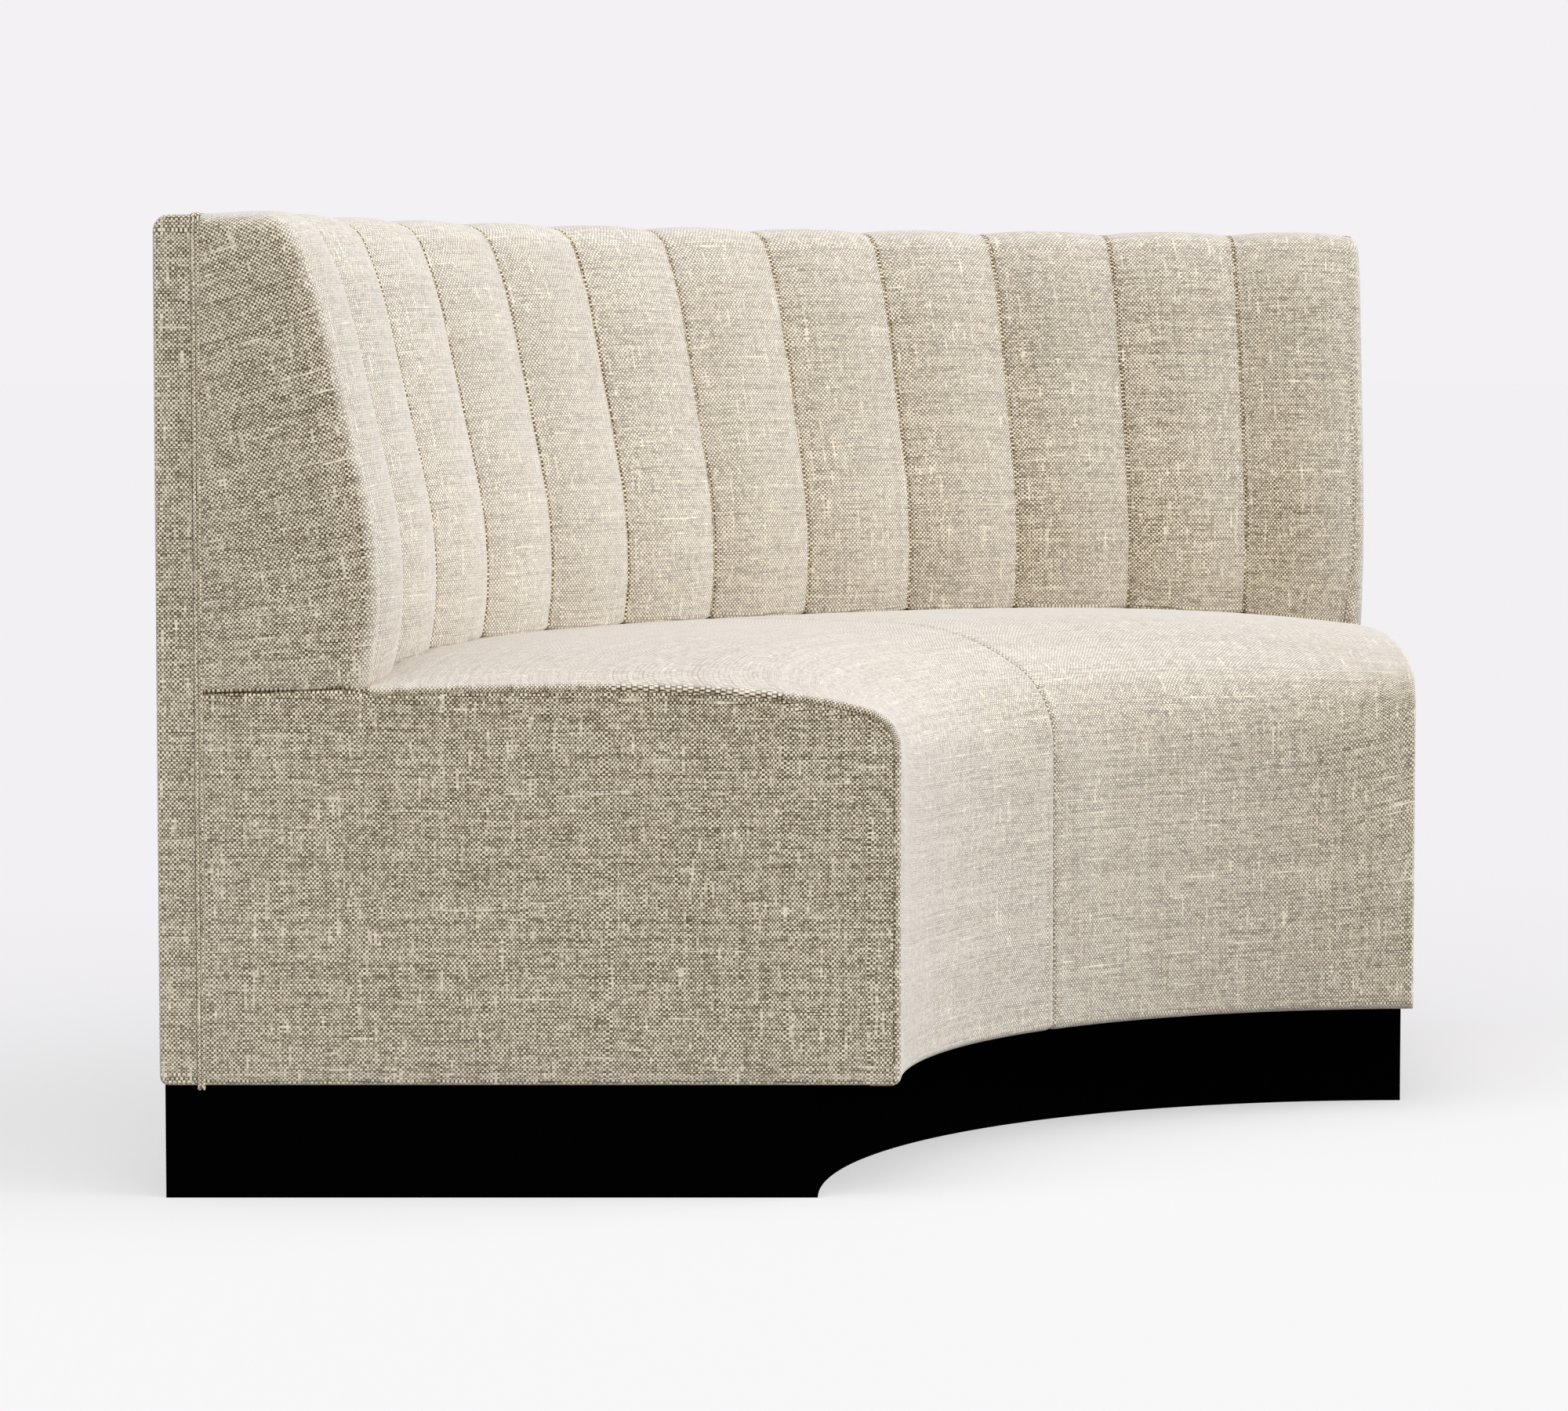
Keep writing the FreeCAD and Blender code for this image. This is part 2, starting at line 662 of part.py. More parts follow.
def back_skin(inset, rear):
    """The valley line of the back in section, from under it over its front to the top's rear."""
    lumbar = (BACK_FRONT_RADIUS + inset, LUMBAR_HEIGHT)
    lower = Outline(lumbar, -90.0)
    lower.turn(LOWER_ARC - inset, LOWER_LEAN)
    lower.turn(TUCK_RADIUS - inset, 90.0 - LOWER_LEAN)
    lower.line_to((rear, SEAT_REAR_HEIGHT + EASE + inset))
    upper = upper_skin(lumbar, inset).line_to((rear, OVERALL_HEIGHT - inset))
    return backwards(lower.edges) + upper.edges


def upper_skin(lumbar, inset):
    """From the foremost point of the back up to where its top is level."""
    upper = Outline(lumbar, 90.0)
    upper.turn(LUMBAR_ARC - inset, -LEAN)
    upper.line(BACK_STRAIGHT)
    upper.turn(SHOULDER_ARC - inset, LEAN - SHOULDER_LEAN)
    upper.turn(TOP_ROUND - inset, SHOULDER_LEAN - 90.0)
    return upper


def core_outline(gap):
    """What lies between the channels and the spine in section, stepped round both rails."""
    inset = CORE_INSET + gap
    rear = SPINE_FRONT_RADIUS - EASE
    low, high = BACK_FRAME_BOTTOM + gap, CORE_TOP - gap
    lumbar = (BACK_FRONT_RADIUS + inset, LUMBAR_HEIGHT)
    fall = math.degrees(math.asin((LUMBAR_HEIGHT - low) / (LOWER_ARC - inset)))
    lower = Outline(lumbar, -90.0).turn(LOWER_ARC - inset, fall)
    bottom_step = SPINE_FRONT_RADIUS - BACK_BOTTOM_RAIL_DEPTH - gap
    top_step = SPINE_FRONT_RADIUS - BACK_TOP_RAIL_DEPTH - gap
    above_rail = BACK_FRAME_BOTTOM + BACK_RAIL_HEIGHT + gap
    below_rail = CORE_TOP - BACK_RAIL_HEIGHT - gap
    upper = upper_skin(lumbar, inset)
    upper.line_to((top_step, high)).line_to((top_step, below_rail)).line_to((rear, below_rail))
    upper.line_to((rear, above_rail)).line_to((bottom_step, above_rail)).line_to((bottom_step, low))
    return ring_of(backwards(lower.edges) + upper.edges)


def back_ribs():
    return group(plate(core_outline(EASE), share * HALF_SPAN, BACK_RIB) for share in BACK_RIB_SHARES)


def back_core_foam():
    """Blocks of firm foam in the bays between the ribs, each bent at its middle."""
    inner = angle_of(BACK_RIB / 2 + CORE_GAP, BACK_FRONT_RADIUS)
    outer = angle_of(FRAME_INNER_SETBACK + CORE_GAP, BACK_FRONT_RADIUS)
    sides = [-HALF_SPAN] + [share * HALF_SPAN for share in BACK_RIB_SHARES] + [HALF_SPAN]
    margins = [outer] + [inner] * len(BACK_RIB_SHARES) + [outer]
    outline = core_outline(CORE_GAP)
    blocks = []
    for i in range(len(sides) - 1):
        start, end = sides[i] + margins[i], sides[i + 1] - margins[i + 1]
        sections = [wire(outline, angle) for angle in (start, (sides[i] + sides[i + 1]) / 2, end)]
        blocks.append(Part.makeLoft(sections, True, True))
    return group(blocks)


def back_end_outline(inset):
    return ring_of(back_skin(inset, COVER_REAR_RADIUS - EASE - inset))


def back_end_frame(side):
    outline = ring_of(back_skin(END_FRAME_INSET, SPINE_FRONT_RADIUS - 2 * EASE))
    return plate(outline, side * HALF_SPAN, END_FRAME, FRAME_SETBACK)


# Channels of the back

def valley_stations(rear):
    """Points and headings along the valley line, bottom to top, each with its share of the crown."""
    lumbar = (BACK_FRONT_RADIUS, LUMBAR_HEIGHT)
    lower = Outline(lumbar, -90.0)
    stations = [(lumbar, 90.0)]
    for radius, degrees in ((LOWER_ARC, LOWER_LEAN), (TUCK_RADIUS, TUCK_LEAN - LOWER_LEAN)):
        lower.turn(radius, degrees)
        stations.insert(0, (lower.point, lower.heading + 180.0))
    upper = Outline(lumbar, 90.0)
    for radius, degrees, steps in (
        (LUMBAR_ARC, LEAN, 1), (None, 0.0, 1),
        (SHOULDER_ARC, SHOULDER_LEAN - LEAN, 1), (TOP_ROUND, 90.0 - SHOULDER_LEAN, 3),
    ):
        for _ in range(steps):
            if radius is None:
                upper.line(BACK_STRAIGHT)
            else:
                upper.turn(radius, -degrees / steps)
            stations.append((upper.point, upper.heading))
    stations.append(((rear, OVERALL_HEIGHT), 0.0))
    return [(point, heading, share) for (point, heading), share in zip(stations, CROWN_SHARES)]


class ChannelPlane:
    """The plane across a channel at a station, square to the valley line in the channel's middle."""

    def __init__(self, station, start, end):
        (self.r, self.z), heading, share = station
        self.crown = CHANNEL_CROWN * share
        normal = math.radians(heading + 90.0)
        self.out_r, self.out_z = math.cos(normal), math.sin(normal)
        self.start, self.end = start, end
        self.half = math.radians(end - start) / 2
        outward, self.across = unit((start + end) / 2)
        up = Vector(0, 0, 1)
        rise = outward * (self.out_r * math.cos(self.half)) + up * self.out_z
        self.rise = rise.normalize()
        self.middle = ARC_AXIS + outward * (self.r * math.cos(self.half)) + up * self.z

    def edge(self, angle, depth):
        """A point on the seam at an angle, drawn in from the valley line by a depth."""
        return place((self.r - depth * self.out_r, self.z - depth * self.out_z), angle)

    def crest(self, depth):
        return self.middle + self.rise * (self.crown - depth)

    def shoulder(self, side, depth):
        """A point partly up the crown, to one side of the channel's middle."""
        width = self.r * math.sin(self.half) * SHOULDER_SHARE
        level = self.crown * (1 - SHOULDER_SHARE ** 2) - depth
        return self.middle + self.across * (side * width) + self.rise * level


def bevelled_line(plane, depth):
    """The four corners of a crown with bevelled shoulders, from one seam to the other."""
    return [
        plane.edge(plane.start, depth), plane.shoulder(-1, depth),
        plane.shoulder(1, depth), plane.edge(plane.end, depth),
    ]


def cover_section(plane):
    """Fabric from seam to seam: a round outside, and an inside that fits the bevelled foam."""
    inside = bevelled_line(plane, COVER)
    a, b = plane.edge(plane.start, 0.0), plane.edge(plane.end, 0.0)
    sides = [a] + inside + [b]
    lines = [Part.makeLine(sides[i], sides[i + 1]) for i in range(len(sides) - 1)]
    return Part.Wire(lines + [Part.Arc(b, plane.crest(0.0), a).toShape()])


def foam_section(plane):
    """A strip of foam with bevelled shoulders, under the crown of the fabric."""
    depth = CORE_INSET - EASE
    points = bevelled_line(plane, COVER + EASE)
    points += [plane.edge(plane.end, depth), plane.edge(plane.start, depth)]
    return Part.makePolygon(points + points[:1])


def channel_angles(index):
    """The angles of a channel's two seams; the outer ones stop at the end covers."""
    gap = math.degrees(SEAM_GAP / 2 / BACK_FRONT_RADIUS)
    band = angle_of(END_COVER_DEPTH + EASE, BACK_FRONT_RADIUS)
    start = CHANNEL_ANGLE * index - HALF_SPAN
    end = start + CHANNEL_ANGLE
    return start + (band if index == 0 else gap), end - (band if index == CHANNELS - 1 else gap)


def below_seat(start, end):
    """A block that holds what a channel would have below the seat's surface."""
    low, high = (
        junction_height(crown_share(HALF_SPAN - abs(angle))) + SEAT_CLEARANCE
        for angle in (start, end)
    )
    slope = (high - low) / (end - start) * BLOCK_OVERRUN
    ends = ((start - BLOCK_OVERRUN, low - slope), (end + BLOCK_OVERRUN, high + slope))
    front, floor = BACK_FRONT_RADIUS - SPINE, SEAT_REAR_HEIGHT - SPINE
    sections = [
        wire(rectangle(front, OUTER_RADIUS, floor, height), angle) for angle, height in ends
    ]
    return Part.makeLoft(sections, True, True)


def channel_loft(index, section, first, rear):
    start, end = channel_angles(index)
    stations = valley_stations(rear)[first:]
    body = Part.makeLoft([section(ChannelPlane(s, start, end)) for s in stations], True, True)
    if body.Volume < 0:
        body.reverse()
    return body.cut(below_seat(start, end))


def back_channel_foams():
    """A strip of foam for each channel, the outer two cut back to the end frames."""
    rear = SPINE_FRONT_RADIUS - EASE
    strips = [channel_loft(index, foam_section, TUCK_STATIONS, rear) for index in range(CHANNELS)]
    for index in (0, -1):
        strips[index] = trimmed(strips[index], FRAME_INNER_SETBACK + EASE)
    return group(strips)


def back_channel_covers_left():
    """The panels of fabric of the left half's channels."""
    rear = COVER_REAR_RADIUS - EASE
    return group(channel_loft(index, cover_section, 0, rear) for index in range(CHANNELS // 2))


# Back slab

def slab(inset, front, corner=Outline.bevel):
    """The slab behind the seat and back, drawn in by an inset on all sides but its front."""
    low, high = PLINTH_HEIGHT + inset, OVERALL_HEIGHT - inset
    rear = OUTER_RADIUS - inset
    outline = Outline((front, low), 0.0)
    outline.line_to((rear - HEM_BEVEL + inset, low)).bevel(HEM_BEVEL - inset, 90.0)
    outline.line_to((rear, high - SLAB_TOP_ROUND + inset))
    corner(outline, SLAB_TOP_ROUND - inset, 90.0)
    outline.line_to((front, high)).close()
    return trimmed(swept(outline.edges), inset)


def outer_back_cover():
    outside = slab(0.0, SLAB_FRONT_RADIUS, Outline.turn)
    return outside.cut(slab(COVER, SLAB_FRONT_RADIUS - COVER))


def outer_back_wadding():
    skin = COVER + EASE
    return slab(skin, SLAB_FRONT_RADIUS).cut(slab(skin + SLAB_WADDING, SLAB_FRONT_RADIUS - COVER))


def outer_back_panel():
    return slab(COVER + SLAB_WADDING + 2 * EASE, SLAB_FRONT_RADIUS + EASE)


# Double welt over the joint between the slab and the cushions

def welt_outline():
    """Two cords side by side on a flat back: places across the welt, and heights off its seat."""
    radius = WELT_CORD / 2
    lobe = []
    for degrees in WELT_FACET_ANGLES:
        a = math.radians(degrees)
        lobe.append((radius - EASE + radius * math.cos(a), radius + radius * math.sin(a)))
    corner = (lobe[0][0], 0.0)
    right = [corner] + lobe
    left = [(-x, z) for x, z in reversed(right)]
    return right + [(0.0, radius * WELT_LOBE_SHARE)] + left


def welt_face(origin, outward, upward):
    """The welt's section at a place, with its width and its height in two given directions."""
    points = [origin + outward * x + upward * z for x, z in welt_outline()]
    return Part.Face(Part.makePolygon(points + points[:1]))


def double_welt_top():
    middle = (COVER_REAR_RADIUS + SLAB_FRONT_RADIUS) / 2
    end = HALF_SPAN - angle_of(WELT_SEAT_INSET + WELT_BEND + WELT_CORD + EASE, middle)
    outward, _ = unit(end)
    face = welt_face(place((middle, WELT_SEAT_HEIGHT), end), outward, Vector(0, 0, 1))
    return face.revolve(ARC_AXIS, Vector(0, 0, 1), 2 * end)


def double_welt_end(side):
    """The welt down one end, from below the fabric's edge to a bend at the top corner."""
    middle = (COVER_REAR_RADIUS + SLAB_FRONT_RADIUS) / 2
    outward, sideways = unit(side * HALF_SPAN)
    away = sideways * side
    seat = place((middle, 0), side * HALF_SPAN) - away * WELT_SEAT_INSET
    corner = Vector(0, 0, WELT_SEAT_HEIGHT - WELT_BEND)
    foot = Vector(0, 0, PLINTH_HEIGHT - WELT_OVERHANG)
    run = welt_face(seat + foot, outward, away).extrude(corner - foot)
    pivot = seat + corner - away * WELT_BEND
    bend = welt_face(seat + corner, outward, away).revolve(pivot, away.cross(Vector(0, 0, 1)), 90.0)
    tail = welt_face(pivot + Vector(0, 0, WELT_BEND), outward, Vector(0, 0, 1)).extrude(away * -WELT_CORD)
    return run.fuse([bend, tail]).removeSplitter()


def welt_tack_strips():
    """Strips along the spine board's ends that carry the welt."""
    front, rear = COVER_REAR_RADIUS + EASE, SLAB_FRONT_RADIUS - EASE
    outline = rectangle(front, rear, PLINTH_HEIGHT, SPINE_TOP - WELT_BEND)
    setback = WELT_SEAT_INSET + EASE / 2
    return group(
        plate(outline, side * HALF_SPAN, FRAME_SETBACK - setback, setback) for side in (-1, 1)
    )


# All pieces by name

def nodes():
    yield "plinth_front_board", plinth_front_board()
    yield "plinth_rear_board", plinth_rear_board()
    yield "plinth_bearers", plinth_bearers()
    yield "plinth_corner_blocks", plinth_corner_blocks()
    yield "base_bolts", base_bolts()
    yield "base_board", base_board()
    yield "seat_front_panel", seat_front_panel()
    yield "seat_front_rail", seat_front_rail()
    yield "seat_rear_rail", seat_rear_rail()
    yield "seat_ribs", seat_ribs()
    yield "seat_webbing_radial", seat_webbing_radial()
    yield "seat_webbing_rings", seat_webbing_rings()
    yield "seat_foam", seat_foam()
    yield "seat_front_foam", seat_front_foam()
    cover = seat_cover_left()
    yield "seat_cover_left", cover
    yield "seat_cover_right", mirrored(cover)
    for side, name in ((-1, "left"), (1, "right")):
        yield "plinth_end_board_" + name, plinth_end_board(side)
        yield "seat_end_cleat_" + name, seat_end_cleat(side)
        yield "seat_end_frame_" + name, seat_end_frame(side)
        yield "seat_end_padding_" + name, end_padding(seat_end_outline, side)
        yield "seat_end_cover_" + name, end_cover(seat_end_outline, side)
        yield "back_end_frame_" + name, back_end_frame(side)
        yield "back_end_padding_" + name, end_padding(back_end_outline, side)
        yield "back_end_cover_" + name, end_cover(back_end_outline, side)
        yield "double_welt_" + name, double_welt_end(side)
    yield "spine_board", spine_board()
    yield "back_bottom_rail", back_bottom_rail()
    yield "back_top_rail", back_top_rail()
    yield "back_ribs", back_ribs()
    yield "back_core_foam", back_core_foam()
    yield "back_channel_foams", back_channel_foams()
    covers = back_channel_covers_left()
    yield "back_channel_covers_left", covers
    yield "back_channel_covers_right", mirrored(covers)
    yield "outer_back_panel", outer_back_panel()
    yield "outer_back_wadding", outer_back_wadding()
    yield "outer_back_cover", outer_back_cover()
    yield "double_welt_top", double_welt_top()
    yield "welt_tack_strips", welt_tack_strips()


def main():
    os.makedirs("parts", exist_ok=True)
    for name, shape in nodes():
        shape.exportStep(f"parts/{name}.step")


main()
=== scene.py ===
import math

import bpy
import numpy as np
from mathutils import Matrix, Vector

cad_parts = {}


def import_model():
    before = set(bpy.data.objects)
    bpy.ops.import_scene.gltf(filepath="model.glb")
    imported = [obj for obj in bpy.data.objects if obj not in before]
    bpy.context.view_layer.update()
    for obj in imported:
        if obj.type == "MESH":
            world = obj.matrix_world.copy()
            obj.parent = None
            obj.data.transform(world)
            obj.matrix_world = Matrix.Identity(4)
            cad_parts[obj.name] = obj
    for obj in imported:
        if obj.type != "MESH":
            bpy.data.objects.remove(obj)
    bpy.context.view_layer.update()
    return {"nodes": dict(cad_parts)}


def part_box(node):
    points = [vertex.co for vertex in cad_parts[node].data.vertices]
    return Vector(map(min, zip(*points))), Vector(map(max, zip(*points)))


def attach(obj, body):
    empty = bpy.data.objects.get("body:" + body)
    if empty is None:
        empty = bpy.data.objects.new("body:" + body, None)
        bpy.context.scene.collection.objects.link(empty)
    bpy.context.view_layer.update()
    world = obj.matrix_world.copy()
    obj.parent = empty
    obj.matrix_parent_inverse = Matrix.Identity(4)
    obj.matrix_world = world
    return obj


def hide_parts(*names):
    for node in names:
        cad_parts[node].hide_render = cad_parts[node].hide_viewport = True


# A quarter-circle upholstered banquette, dressed over its CAD frame, in metres.
# Radii are measured from the axis of the arc and angles from the middle of the bench, positive
# towards +X. An end's setback is the distance back from the flat plane of that end.

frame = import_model()

# Form
HALF_SPAN = math.radians(45.0)
slab_low, slab_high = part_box("outer_back_cover")
OUTER_RADIUS = slab_high.x / math.sin(HALF_SPAN)
ARC_CENTRE_Y = slab_high.y - OUTER_RADIUS
OVERALL_HEIGHT = slab_high.z
PLINTH_HEIGHT = slab_low.z
SEAT_FRONT_RADIUS = 0.5424
HEM_ROUND = 0.008
UNDER_RADIUS = 0.572
COVER_REAR_RADIUS = 1.1897
SLAB_FRONT_RADIUS = 1.198
SPINE_FRONT_RADIUS = 1.1797
# Directions along the flat plane of the left end, away from the arc's axis, and square to it
LEFT_OUTWARD = np.array([-math.sin(HALF_SPAN), math.cos(HALF_SPAN), 0.0])
LEFT_FACING = np.array([-math.cos(HALF_SPAN), -math.sin(HALF_SPAN), 0.0])
UPWARD = np.array([0.0, 0.0, 1.0])

# Seat: the first value of each pair is at the ends, the second in the middle
SEAT_TOP = (0.4815, 0.5075)
SEAT_FRONT_CROWN = (0.0, 0.0044)
ROLL_RADIUS = (0.039, 0.089)
ROLL_ANGLE = (15.5, 27.5)
SHOULDER_RADIUS = (0.490, 0.320)
SHOULDER_ANGLE = (6.0, 10.0)
CROWN_RADIUS = (1.550, 0.400)
REAR_CROWN_RADIUS = (5.4, 6.64)
CROWN_REACH = math.radians(30.0)
CROWN_POWER = 2.4
SEAT_REAR_HEIGHT = 0.4717
JUNCTION_RADIUS = 1.035
SEAT_EDGE_ROUND = 0.0042
SEAT_EDGE_STEPS = 5
SEAT_SEAM_INSET = 0.0080
# Radii, and the share of the rounded edge and its seam that the seat's ends keep there
EDGE_SHARES = ((1.036, 1.052), (1.0, 0.10))
# The share that is lost where the joint with the back is at its full depth
JOINT_BEGUN = 0.5
# How far behind the joint the fabric counts as folded in, and takes the darker linen as painted shade
FOLD_SHADED_FROM = 0.3
MIDDLE_SEAM_DIP = 0.0022
MIDDLE_SEAM_WIDTH = 0.0028
# The radius at which the weave on the seat is as wide as it is long
WEAVE_RADIUS = 0.62
SEAT_LOOSE_RADIUS = 0.99
HEM_STEPS = 4
FRONT_STEPS = 26
ROLL_STEPS = 12
SHOULDER_STEPS = 6
CROWN_STEPS = 8
REAR_CROWN_STEPS = 24
REAR_STEPS = 12
# Rows of the seat's path at which its front and its roll begin
FRONT_ROW = 2 * HEM_STEPS
ROLL_ROW = FRONT_ROW + FRONT_STEPS
SMALLEST_ROUND = 0.0005
SEAT_COLUMNS = 46
# Further columns by the end's edge and by the middle seam, as shares of the way between them
EDGE_COLUMN_SHARES = (0.004, 0.010)
SEAM_COLUMN_SHARES = (0.974, 0.986, 0.9935, 0.9972)
SEAT_HEM = 0.003
SEAT_END_TOP = 0.48
# Rows up the seat's end: even ones, and then some close to the seam
SEAT_END_ROWS = (0.0, 0.98, 30)
SEAT_END_LAST_ROWS = (0.994, 0.9973, 1.0)
SEAM_GROOVE = 0.0005
GROOVE_WIDTH = 0.0020
JOINT_GROOVE = 0.0035
JOINT_FLAP = 0.012
JOINT_GAP = 0.0002
END_SWELL = 0.0012
SWELL_RAMP = 0.05

# Back
CHANNELS = 12
CHANNEL_CROWN = 0.011
BACK_FRONT_RADIUS = 1.0265
LUMBAR_HEIGHT = 0.565
LOWER_ARC = 0.325
LUMBAR_ARC = 0.436
SHOULDER_ARC = 0.389
LEAN = 13.0
SHOULDER_LEAN = 25.0
TOP_ROUND = 0.034
BACK_EDGE_ROUND = 0.014
# The edge is rounder near the seat, where the fabric is pulled in
CORNER_ROUND = 0.021
CORNER_HEIGHTS = (0.485, 0.570)
BACK_TOP_RADIUS = 1.1315
TUCK_ROUND = 0.004
SEAT_CLEARANCE = 0.0012
# Heights along a channel, and the share of its crown that it has there
CROWN_HEIGHTS = (0.47, 0.495, 0.53, 0.57, 0.80, 0.86, 0.895, 0.9141)
CROWN_SHARES = (0.70, 0.85, 0.97, 1.0, 1.0, 0.90, 0.66, 0.42)
# On the top, the crown dies down from this radius to the rear
TOP_CROWN_RADIUS = 1.118
TOP_CROWN_HEIGHT = 0.9
CROWN_POINT = 2.2
TUCK_STEPS = 4
LOWER_STEPS = 8
LUMBAR_STEPS = 10
STRAIGHT_STEPS = 14
BACK_SHOULDER_STEPS = 8
TOP_ROUND_STEPS = 8
TOP_STEPS = 8
CHANNEL_COLUMNS = 17
# How near the sine that spaces a channel's columns goes to its peak
COLUMN_CROWDING = 0.92
# The weave's rows are counted from the foremost point of a channel, and stretch across its crown
WEAVE_ROW = TUCK_STEPS + LOWER_STEPS
CROWN_STRETCH = 1.05
BACK_END_FRONT = 1.02
BACK_END_LOW = 0.472
BACK_END_COLUMNS = 13
TOP_STRIP_ROWS = 7
EDGE_STEPS = 6
JOINT_FADE = 0.05
FLAP_DROP = 0.0004
# The weave on the back's ends slants up towards the front: heights and slopes
SLANT_HEIGHTS = (0.47, 0.60, 0.90)
SLANTS = (0.02, 0.16, 0.36)
SLANT_RADIUS = 1.1

# Slab and welt
SLAB_TOP_ROUND = 0.015
SLAB_TOP_STEPS = 6
SLAB_REAR_STEPS = 40
SLAB_EDGE_ROUND = 0.0028
SLAB_EDGE_STEPS = 5
SLAB_COLUMNS = 97
SLAB_END_COLUMNS = 6
# The row at which the weave of the slab's ends lines up with its rear's
SLAB_MATCH_ROW = 20
WELT_RADIUS = (COVER_REAR_RADIUS + SLAB_FRONT_RADIUS) / 2 - 0.0001
WELT_CORD_RADIUS = 0.0021
WELT_CORD_OVERLAP = 0.0002
WELT_SEAT_INSET = 0.00215
WELT_BEND = 0.003
WELT_OVERHANG = 0.0045
WELT_TURNED_IN = 0.0035
WELT_TOP_START = 0.0043
WELT_CAP_ANGLES = (6.0, 28.0, 52.0, 90.0)
WELT_SIDES = 10
WELT_END_ROWS = 60
WELT_BEND_STEPS = 5
WELT_TOP_ROWS = 181

# Stitches: pitch, length and thread radius
END_STITCH = (0.0045, 0.0027, 0.00042)
MIDDLE_STITCH = (0.0070, 0.0046, 0.00050)
MIDDLE_STITCH_LIFT = 0.0003
# How far short of the back the rows of stitches stop
END_STITCHES_SHORT = 0.004
MIDDLE_STITCHES_SHORT = 0.006
# Along a stitch: places and widths as shares, and depths as shares of its radius
STITCH_SHARES = (0.0, 0.15, 0.5, 0.85, 1.0)
STITCH_WIDTH_SHARES = (0.45, 0.92, 1.0, 0.92, 0.45)
STITCH_DEPTH_SHARES = (1.1, 0.25, 0.0, 0.25, 1.1)
STITCH_SIDES = 6

# Cloth simulation: the pressure under the fabric, and how far it may move it
CLOTH_STEPS = 20
CLOTH_QUALITY = 6
SEAT_SWELL = (0.5, 0.0024)
CHANNEL_SWELL = (9.0, 0.0024)
HOLD_REACH = 0.035
HOLD_POWER = 1.5
CHANNEL_HOLD_REACH = 0.03
CHANNEL_HELD_FOOT = 0.005
CHANNEL_HELD_REAR = 0.01
FIRMLY_HELD = 0.999

# Fabric
WARP_PITCH = 0.00206
WEFT_PITCH = 0.00226
# Rows wander and warp threads stray: how fast, per metre across and along, and how far, in threads
WANDER_RATES = (20.0, 90.0)
WANDER_REACH = 1.2
STRAY_RATES = (90.0, 25.0)
STRAY_REACH = 2.0
# How fast tones change along the threads and the gaps between them, per metre
SLUB_RATE = 18.0
FLECK_RATE = 140.0
COLUMN_RATE = 30.0
GAP_RATE = 45.0
# Steps in noise that keep one row, thread or piece of cloth apart from the next
APART = 900.0
COLUMN_STEP = 5.17
SEED_STEP = 3.7
# Seeds of the weave, one for each stretch of cloth; the mirror's is added to them on the right
SEAT_SEED = 1.0
SEAT_END_SEED = 2.0
CHANNEL_SEED = 3.0
BACK_END_SEED = 20.0
SLAB_SEED = 21.0
WELT_END_SEED = 24.0
WELT_TOP_SEED = 26.0
STITCH_SEED = 30.0
MIRROR_SEED = 17.0
# Places in noise, one for each thing that varies on its own
ROW_NOISE = 0.5
OWN_NOISE = 2.5
SLUB_NOISE = 0.5
FLECK_NOISE = 7.5
FIBRE_NOISE = 4.5
BETWEEN_NOISE = 6.5
GAP_NOISE = 3.5
# Where in the noise slubs, proud threads and gaps begin, and how steeply the first two do
SLUB_START = (0.66, 9.0)
PROUD_START = (0.60, 8.0)
GAP_START = 0.52
# Tones run from 0, the darkest taupe, to 1, the palest cream
WEFT_TONE = 0.90
WELT_TONE = 0.98
# The tone of the darker linen laid on faces in folds, seams and joints: painted shade
FOLD_SHADE_TONE = 0.82
ROW_TONE = 0.22
COLUMN_TONE = 0.13
SLUB_TONE = 0.16
FLECK_TONE = 0.85
CELL_TONE = 0.56
# A painted highlight on the middle of each weft float, where it rises over the warp
CREST_HIGHLIGHT = 0.06
DOT_TONE = 0.95
DOT_CELL_TONE = 0.855
DOT_COLUMN_TONE = 1.2
# The line and gap tones are painted shade in the gaps between rows
ROW_GAP_SHADE = 0.62
LINE_FLECK_TONE = 0.8
WIDE_GAP_SHADE = 4.4
# Half the dots' width and height, and where from the middle of a row the painted shade of its gap begins,
# in threads
DOT_WIDTH = 0.53
DOT_HEIGHT = 0.47
LINE_START = 0.25
# How much of the dots and lines slubs and proud threads hide
SLUB_COVER = 0.6
PROUD_COVER = 0.75
PROUD_LINE_COVER = 0.6
# The colours below are the cloth's as photographed, in less than full light, and are lifted for it
BASE_LIFT = 1.09
LIFTED_MOST = 250
YARN_COLOURS = (
    (0.0, (74, 63, 43)), (0.2, (107, 95, 73)), (0.4, (141, 130, 108)),
    (0.6, (178, 167, 146)), (0.8, (213, 202, 182)), (1.0, (247, 237, 219)),
)
# Roughness and gloss, and the strength and height of the relief
FABRIC_GLOSS = (0.95, 0.05)
FABRIC_RELIEF = (0.35, 0.0004)
SHEEN_COLOUR = (223, 219, 216)
# How much of the painted sheen, a pale diffuse layer, shows, from facing the eye (0) to edge on (1)
SHEEN_SHARES = (
    (0.0, 0.0), (0.02, 0.09), (0.10, 0.20), (0.30, 0.31), (0.60, 0.47), (0.85, 0.60), (0.95, 0.74),
)

# Floor and backdrop
FLOOR_REACH = 60.0
FLOOR_COLOUR = (0.41, 0.408, 0.412)
FLOOR_FAR = (0.386, 0.380, 0.389)
FLOOR_GLOW = 1.15
FLOOR_BOUNCE = (0.28, 0.28, 0.28)
# The floor turns to its far colour over this length, measured ahead from the middle of the bench
FADE_START = -0.6
FADE_LENGTH = 2.0
BACKDROP = (243, 241, 244)

